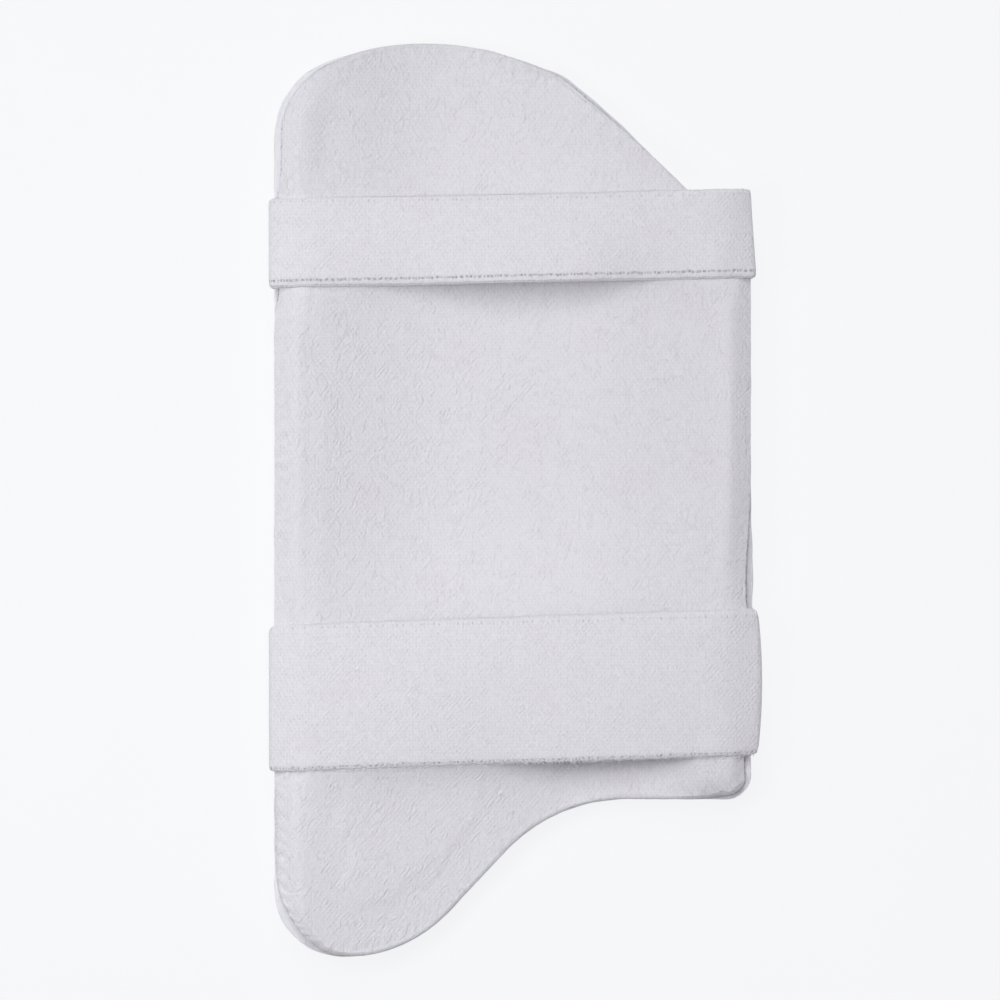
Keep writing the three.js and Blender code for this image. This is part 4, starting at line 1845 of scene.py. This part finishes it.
        def eased(values: Array, reach: float) -> Array:
            """Lines of values averaged under a bell of a reach along the strap."""
            steps = self.ease_steps
            kernel = hump(np.arange(-steps, steps + 1) * self.way_step, reach)
            kernel = kernel / kernel.sum()
            grown = np.pad(values, ((steps, steps), (0, 0)), mode="reflect", reflect_type="odd")
            return np.stack([np.convolve(column, kernel, mode="valid") for column in grown.T], axis=1)

        line, outward = (
            eased(values, self.ease_bend) * (1.0 - flat) + eased(values, self.ease_flat) * flat
            for values in (line, outward)
        )
        return even, line, unit(outward)

    def press(self, points: Array) -> Array:
        """How far the strap pushes points of the pad down.

        Under the strap a point sinks to just below it, and beside it the push fades as a bell of
        the distance from its edge.

        Args:
            points: Points of the pad.

        Returns:
            Distances downwards, none of them negative.
        """
        over = self.outward[:, 1] > self.over_least
        x, y, z = (points[..., k] for k in range(3))
        under = self.line[over, 1] - self.thickness / 2.0 - self.press_gap
        under = np.interp(x, self.line[over, 0], under, left=np.inf, right=np.inf)
        beside = np.abs(y - self.middle - self.rise * x) - self.width / 2.0
        return np.maximum(0.0, z - under) * hump(np.maximum(0.0, beside), self.press_reach)

    def lean(self, x: Array) -> Array:
        """Share of the gap below the lower edge that is closed, which is none beyond the ridges."""
        left = self.lean_left.most * (1.0 - smooth_share(x, self.lean_left.start, self.lean_left.end))
        right = self.lean_right.most * smooth_share(x, self.lean_right.start, self.lean_right.end)
        return np.maximum(left, right) * (1.0 - self.ridge_across.share(np.abs(x)))

    def gather(self, points: Array) -> Array:
        """How far points of the pad rise towards the strap's edges.

        Under the strap the rise eases in from its middle to each edge, where the pad nestles against
        its side. Below the lower edge it fades as exp(-d / fade), one share of it quickly and the rest
        slowly, and above the upper edge as a bell of the distance.

        Args:
            points: Points of the pad.

        Returns:
            Distances upwards, none of them negative.
        """
        over = self.outward[:, 1] > self.over_least
        x, y, z = (points[..., k] for k in range(3))
        beside = self.line[over, 1] - self.thickness / 2.0 + self.nestle
        clear = np.maximum(0.0, np.interp(x, self.line[over, 0], beside) - z)
        down = self.middle + self.rise * x - y
        half = self.width / 2.0
        past = np.maximum(0.0, down - half)
        fade = self.gather_near * np.exp(-past / self.gather_fade)
        fade = fade + (1.0 - self.gather_near) * np.exp(-past / self.gather_far)
        low = smooth_share(down, 0.0, half) * fade
        high = smooth_share(-down, 0.0, half) * hump(np.maximum(0.0, -down - half), self.gather_reach)
        return clear * (self.gather_share * self.lean(x) * low + self.high_gather * high)

    def place(self, along: Array, across: Array, lift: Array) -> Array:
        """Points of the strap, which hangs towards the pad: its upper edge all along, its lower by its lean.

        Args:
            along: Lengths along the strap.
            across: Distances from its middle line towards its upper edge.
            lift: Distances outwards from the middle of its thickness.

        Returns:
            Points in space, with the same leading shape.
        """
        x, z = (np.interp(along, self.length, self.line[:, k]) for k in (0, 1))
        out_x, out_z = (np.interp(along, self.length, self.outward[:, k]) for k in (0, 1))
        high = np.clip(across / self.width + 0.5, 0.0, 1.0)
        pull = self.high_pull * high + self.low_pull * (1.0 - high)
        pull = pull + self.middle_pull * 4.0 * high * (1.0 - high)
        lift = lift + pull * hump(along - self.right_fold, self.fold_reach)
        y = self.middle + self.rise * (along - self.length[-1] / 2.0) + across
        clear = np.maximum(0.0, z - self.thickness - LEVELS.inner(x)) * (out_z > self.flat_least)
        droop = self.lean(x) * self.droop_share * (1.0 - high) ** self.droop_power
        droop = clear * (droop + self.high_droop * high**self.droop_power)
        return np.stack((x + out_x * lift, y, z + out_z * lift - droop), axis=-1)

    def edges(self, along: Array) -> tuple[Array, Array]:
        """Distances of the lower and upper edge from the middle line, with their jags and corners."""
        left, right = (hump(along - fold, self.corner_reach) for fold in (self.left_fold, self.right_fold))
        low = -self.width / 2.0 + self.low_jag * wander(along, self.jag_waves, self.seed)
        high = self.width / 2.0 + self.high_jag * wander(along, self.jag_waves, self.seed + 1)
        low = low + self.low_corners[0] * left + self.low_corners[1] * right
        high = high - self.high_corners[0] * left - self.high_corners[1] * right
        return low, high

    def body(self) -> tuple[Array, Array, dict[str, Array]]:
        """Closed surface of the strap: its flat section carried along its way.

        Across the strap its top thins towards both edges, is rounded off there by sqrt(1 - t^2), raised
        into a cord at the selvedge and sunk along the line of slits and the fold line. At both
        ends the thickness closes over a millimetre.

        Returns:
            Vertices, faces and the layers of the elastic finish.
        """
        count = int(self.length[-1] / self.station)
        along = np.linspace(0.0, self.length[-1], count)
        low, high = self.edges(along)
        share = 0.5 - 0.5 * np.cos(np.linspace(0.0, math.pi, self.face_points))
        share = self.crowd * share + (1.0 - self.crowd) * np.linspace(0.0, 1.0, self.face_points)
        across = low[:, None] + (high - low)[:, None] * share
        to_low, to_high = across - low[:, None], high[:, None] - across
        way = (along / along[-1])[:, None]
        lines = (self.low_line, self.high_line)
        low_line, high_line = (first + (last - first) * way for first, last in lines)
        is_low = to_low < to_high
        off = np.where(is_low, to_low - low_line, to_high - high_line)
        slits = np.where(is_low, self.low_slits, self.high_slits)
        fold = to_low - self.low_fold_shade
        near = np.minimum(to_low, to_high)
        half = np.sqrt(np.maximum(0.0, 1.0 - (np.maximum(0.0, self.rounding - near) / self.rounding) ** 2))
        close = np.minimum(along, along[-1] - along)
        close = np.sqrt(np.maximum(0.0, 1.0 - (np.maximum(0.0, 1.0 - close)) ** 2))[:, None]
        sway = self.ripple * wander(along, self.ripple_waves, self.seed + 7)
        ripple = sway[:, None] * np.cos(math.pi * share)
        plain = (self.thickness / 2.0 - self.face_sink) * half
        cord = self.cord.at(near) - slits * self.slit_groove.at(off) - self.fold_groove.at(fold)
        thin = self.edge_thin * hump(near, self.thin_reach) + self.edge_drop * (1.0 - half)
        top = (plain - thin + (cord + ripple) * half) * close
        bottom = -(self.thickness / 2.0 - self.back_sink) * close * np.ones_like(half)
        face = self.place(along[:, None], across, top)
        back = self.place(along[:, None], across[:, ::-1], bottom[:, ::-1])
        points = np.concatenate((face, back), axis=1)
        ids = np.arange(points[..., 0].size).reshape(points.shape[:2])
        flat = points.reshape(-1, 3)
        faces = faces_outward(flat, grid_faces(ids, loop_columns=True))

        def both(values: Array) -> Array:
            """Values of the face, followed by those of the back."""
            return np.concatenate((values, values[:, ::-1]), axis=1)

        layers = {
            "along": both(np.broadcast_to(along[:, None], across.shape)) * MM,
            "across": both(across) * MM,
            "off_line": both(off) * MM,
            "off_shade_line": both(fold) * MM,
            "slit_weight": both(slits),
        }
        return flat, faces, layers

    def stitch_lines(self) -> Array:
        """Stitches that sew the left end down and hem the right end, as middle lines of threads."""
        start, stop = self.box_from, self.box_to
        reach = self.width / 2.0 - self.box_inset
        hems = [self.length[-1] - hem for hem in self.hems]
        paths = (
            ((start, -reach), (start, reach)),
            ((stop, -reach), (stop, reach)),
            ((start, -reach), (stop, -reach)),
            ((start, reach), (stop, reach)),
            ((start, -reach), (stop, reach)),
            ((start, reach), (stop, -reach)),
            *(((hem, -reach), (hem, reach)) for hem in hems),
        )
        cores = []
        t = np.linspace(-0.5, 0.5, self.stitch_stations)
        lift = self.thickness / 2.0 - self.stitch_sink - self.stitch_dip * (2.0 * t) ** 4
        for (s0, w0), (s1, w1) in paths:
            count = max(2, int(math.hypot(s1 - s0, w1 - w0) / self.stitch_pitch))
            middle = (np.arange(count) + 0.5) / count
            share = middle[:, None] + t[None, :] * self.stitch_share / count
            along, across = s0 + (s1 - s0) * share, w0 + (w1 - w0) * share
            cores.append(self.place(along, across, np.broadcast_to(lift, share.shape)))
        return np.concatenate(cores)

    def fringe_loops(self) -> Array:
        """Middle lines of the yarn loops that stand out of the lower edge: half ellipses of seeded sizes."""
        draws = np.random.default_rng(self.seed + 11)
        first, last = self.left_fold + self.fringe_inset, self.right_fold - self.fringe_inset
        count = int((last - first) / self.fringe_pitch)
        middle = first + (np.arange(count) + draws.uniform(*self.fringe_jitter, count)) * self.fringe_pitch
        reach = self.fringe * draws.uniform(self.fringe_least, 1.0, count)[:, None]
        turn = np.linspace(0.0, math.pi, self.fringe_stations)
        along = middle[:, None] - draws.uniform(*self.fringe_half, count)[:, None] * np.cos(turn)
        root = self.fringe_root
        across = self.edges(along)[0] + root - (root + reach) * np.sin(turn)
        return self.place(along, across, np.full(along.shape, -self.fringe_sink))

    def build(self) -> list[Piece]:
        """Builds the strap, the stitches at its ends and the fringe of its lower edge, if any."""
        points, faces, layers = self.body()
        strap = put_mesh(f"{self.name}_strap_elastic", points, faces, layers)
        weld(strap)
        strap.data.materials.append(self.elastic)
        hand_over(strap, (f"{self.name}_strap",))
        pieces = [strap]
        threads = [("stitches", self.stitch_lines(), self.stitch_radius)]
        if self.fringe > 0.0:
            threads.append(("fringe", self.fringe_loops(), self.fringe_radius))
        for kind, cores, radius in threads:
            pieces.append(thread_piece(f"{self.name}_strap_{kind}", cores, radius, self.thread))
        return pieces


@dataclass
class HookPatch:
    """Hook tape that holds the right end of a strap on the outer panel."""

    name: str
    tape: Material
    columns: int = 24
    rows: int = 60
    gap: float = 0.3
    thickness: float = 1.0
    rounding: float = 0.4

    def build(self) -> Piece:
        """Builds the patch: two faces that follow the curl of the panel and close at a soft rim."""
        low, high = (np.array(corner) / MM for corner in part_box(f"{self.name}_hook_patch"))
        u = 0.5 - 0.5 * np.cos(np.linspace(0.0, math.pi, self.columns))
        v = 0.5 - 0.5 * np.cos(np.linspace(0.0, math.pi, self.rows))
        x = (low[0] + (high[0] - low[0]) * u)[None, :] + np.zeros((self.rows, 1))
        y = (low[1] + (high[1] - low[1]) * v)[:, None] + np.zeros((1, self.columns))
        near = np.minimum(np.minimum(x - low[0], high[0] - x), np.minimum(y - low[1], high[1] - y))
        rise = np.clip(1.0 - (1.0 - np.minimum(near / self.rounding, 1.0)) ** 2, 0.0, 1.0)
        half = self.thickness / 2.0 * np.sqrt(rise)
        middle = LEVELS.outer(x) - self.gap - self.thickness / 2.0
        top = np.stack((x, y, middle + half), axis=-1)
        bottom = np.stack((x, y, middle - half), axis=-1)
        ids = np.arange(x.size).reshape(x.shape)
        points = np.concatenate((top.reshape(-1, 3), bottom.reshape(-1, 3)))
        faces = np.concatenate((grid_faces(ids), grid_faces(ids + x.size)[:, ::-1]))
        patch = put_mesh(f"{self.name}_hook_tape", points, faces_outward(points, faces))
        weld(patch)
        patch.data.materials.append(self.tape)
        hand_over(patch, (f"{self.name}_hook_patch",))
        return patch


# Floor, light and camera


@dataclass(frozen=True)
class Lamp:
    """Square soft light that looks at the middle of the pad: place and side in metres, power in watts."""

    name: str
    place: Triple
    size: float
    power: float

    def hang(self) -> None:
        """Hangs the light."""
        light = bpy.data.lights.new(self.name, "AREA")
        light.size = self.size
        light.energy = self.power
        lamp = bpy.data.objects.new(self.name, light)
        x, y, z = self.place
        lamp.location = self.place
        lamp.rotation_euler = (math.atan2(math.hypot(x, y), z), 0.0, math.atan2(x, -y))
        bpy.context.scene.collection.objects.link(lamp)


@dataclass
class Studio:
    """Pale floor, soft light from the top and the left, and a camera straight above the pad."""

    floor_reach: float = 4.0
    floor_drop: float = 0.0002
    floor_glow: float = 0.905
    floor_pale: Triple = (0.104, 0.104, 0.107)
    floor_dark: Triple = (0.096, 0.096, 0.099)
    lens: float = 135.0
    sensor: float = 36.0
    millimetres_per_pixel: float = 0.4376
    picture: float = 1000.0
    pad_middle_pixel: float = 515.0
    sharp_height: float = 14.0
    backdrop: Triple = (0.925, 0.930, 0.945)
    surround: Triple = (0.260, 0.260, 0.264)
    level_light: float = 0.50
    zenith_light: float = 0.60
    top_light: float = 0.05
    lamps: tuple[Lamp, ...] = (
        Lamp("sky_light", (0.0, 0.55, 3.14), 1.6, 20.5),
        Lamp("top_light", (-0.3, 3.5, 4.9), 2.6, 88.0),
        Lamp("left_light", (-0.30, 0.0, 0.60), 0.25, 1.34),
    )

    def floor(self) -> None:
        """Makes the floor, which glows a little so that it stays pale under the pad's shadow."""
        side = np.array([-1.0, 1.0]) * self.floor_reach / MM
        points = np.array([(x, y, -self.floor_drop / MM) for y in side for x in side])
        floor = put_mesh("floor", points, np.array([[0, 1, 3, 2]]))
        finish = Finish("floor_paper", roughness=0.95, sheen=0.0)
        grain = finish.sheet.noise(finish.place, scale=30.0, detail=3.0)
        finish.colour(self.floor_pale, self.floor_dark, grain)
        finish.shader.inputs["Emission Color"].default_value = (*self.backdrop, 1.0)
        finish.shader.inputs["Emission Strength"].default_value = self.floor_glow
        floor.data.materials.append(finish.material)

    def world(self) -> None:
        """Lights the room, most from above and from the pad's top, and shows a pale backdrop."""
        world = bpy.data.worlds.new("room")
        world.use_nodes = True
        sheet = NodeSheet(world.node_tree)
        seen = sheet.add("ShaderNodeLightPath").outputs["Is Camera Ray"]
        toward = sheet.add("ShaderNodeNewGeometry").outputs["Incoming"]
        parts = sheet.add("ShaderNodeSeparateXYZ", {0: toward}).outputs
        above = sheet.math("MAXIMUM", sheet.math("MULTIPLY", parts[2], -1.0), 0.0)
        strength = sheet.math("MULTIPLY_ADD", above, self.zenith_light, self.level_light)
        strength = sheet.math("MULTIPLY_ADD", parts[1], -self.top_light, strength)
        room = sheet.vector("SCALE", self.surround)
        sheet.feed(room.node.inputs["Scale"], strength)
        mix = sheet.add("ShaderNodeMix", {0: seen}, data_type="RGBA")
        sheet.feed(mix.inputs[6], room)
        sheet.feed(mix.inputs[7], (*self.backdrop, 1.0))
        sheet.feed(world.node_tree.nodes["Background"].inputs["Color"], mix.outputs[2])
        bpy.context.scene.world = world

    def camera(self) -> None:
        """Hangs the camera so that a pixel covers its share of the pad at the height of its edge."""
        across = self.millimetres_per_pixel * self.picture * MM
        data = bpy.data.cameras.new("camera")
        data.lens = self.lens
        data.sensor_width = self.sensor
        camera = bpy.data.objects.new("camera", data)
        height = across * self.lens / self.sensor + self.sharp_height * MM
        offset = (self.picture / 2.0 - self.pad_middle_pixel) * self.millimetres_per_pixel * MM
        camera.location = (offset, 0.0, height)
        bpy.context.scene.collection.objects.link(camera)
        bpy.context.scene.camera = camera

    def build(self) -> None:
        """Sets up the whole studio."""
        bpy.context.scene.view_settings.view_transform = "Standard"
        self.floor()
        self.world()
        for lamp in self.lamps:
            lamp.hang()
        self.camera()


# The whole pad


def make_panels(groups: Groups, straps: list[Strap]) -> list[PaddedPanel]:
    """Describes the two padded panels.

    Args:
        groups: Node groups of the finishes.
        straps: Straps that press on the inner panel.

    Returns:
        The panels.
    """
    lies = (
        CreaseLie(57.0, 6.0, 0.80, 0.080, 1.0),
        CreaseLie(78.0, 5.0, 0.75, 0.080, 1.0),
        CreaseLie(42.0, 7.0, 1.10, 0.080, 0.4),
        CreaseLie(112.0, 3.6, 0.75, 0.070, 0.6),
    )
    inner = PaddedPanel(
        name="inner_panel_cotton",
        node="inner_panel",
        slot="cotton_inner",
        facing=Facing.LEG,
        side=Fall(STRIP.usual, 10.3, 1.02),
        end=Fall(STRIP.usual, 2.6, 2.3),
        material=CottonFinish("crinkled_cotton").material(groups),
        crinkle=CrinkleField(21, lies),
        creases=(
            Mark(16.6, -32.0, 88.0, 6.0, 0.7, 0.25),
            Mark(-76.5, 80.0, 90.0, 14.0, 0.7, 0.22),
            Mark(-92.0, 73.0, 10.0, 4.0, 0.7, 0.20),
        ),
        dents=(
            Mark(-82.0, 156.0, 90.0, 28.0, 9.0, 1.6),
            Mark(30.0, 172.0, -34.0, 38.0, 8.0, 1.4),
            Mark(42.0, -116.0, 2.0, 40.0, 14.0, 2.8),
        ),
        shade_painting=ShadePainting(),
        straps=tuple(straps),
    )
    outer = PaddedPanel(
        name="outer_panel_cotton",
        node="outer_panel",
        slot="cotton_outer",
        facing=Facing.BALL,
        side=Fall(1.6, 15.0, 1.7),
        end=Fall(1.6, 10.0, 2.0),
        material=CottonFinish("plain_cotton", crinkle=0.5).material(groups),
        crinkle=CrinkleField(34, lies),
        half_columns=320,
        face_rows=70,
    )
    return [inner, outer]


def make_straps(elastic: Material, thread: Material) -> list[Strap]:
    """Describes the two straps, given the finishes of the elastic and of its stitches."""
    upper = Strap(
        name="upper", middle=113.8, width=39.0, rise=0.0205, slack=0.0,
        high_pull=-3.0, low_pull=0.0, middle_pull=0.0,
        high_corners=(0.3, 2.4), low_corners=(0.4, 0.4),
        high_line=(1.7, 2.4), low_line=(2.8, 3.4), high_slits=0.25, low_slits=1.0, low_fold_shade=0.8,
        lean_left=Lean(-62.0, 0.0, 0.88), lean_right=Lean(30.0, 66.0, 1.0),
        low_jag=0.22, high_jag=0.18, jag_waves=(7.3, 4.1, 2.9, 11.7),
        seed=41, elastic=elastic, thread=thread,
    )
    lower = Strap(
        name="lower", middle=-82.5, width=63.8, rise=0.035, slack=2.1,
        high_pull=-1.6, low_pull=-1.6, middle_pull=2.0,
        high_corners=(1.2, 3.2), low_corners=(0.6, 1.2),
        high_line=(1.0, 3.8), low_line=(1.3, 1.3), high_slits=0.3, low_slits=0.7, low_fold_shade=-20.0,
        lean_left=Lean(-15.0, 36.0, 1.0), lean_right=Lean(66.0, 82.0, 0.9),
        low_jag=0.45, high_jag=0.2, jag_waves=(2.2, 3.4, 5.1, 9.7), fold_lift=4.4,
        droop_share=0.25, droop_power=2.0, gather_share=0.75, gather_near=0.45, nestle=0.6,
        high_droop=0.32, fringe=1.0,
        seed=57, elastic=elastic, thread=thread,
    )
    return [upper, lower]


def main() -> None:
    """Builds the pad piece by piece, then the studio."""
    logging.basicConfig(level=logging.INFO, format="%(name)s %(message)s")
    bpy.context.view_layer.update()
    groups = Groups()
    thread = ThreadFinish("sewing_thread").material(groups)
    straps = make_straps(ElasticFinish("knitted_elastic").material(groups), thread)
    for panel in make_panels(groups, straps):
        panel.build()
    SewnEdge(EdgeFinish("edge_cotton").material(groups), thread).build()
    for strap in straps:
        strap.build()
    tape = HookTapeFinish("hook_rows").material(groups)
    for strap in straps:
        HookPatch(strap.name, tape).build()
    Studio().build()


if __name__ == "__main__":
    main()
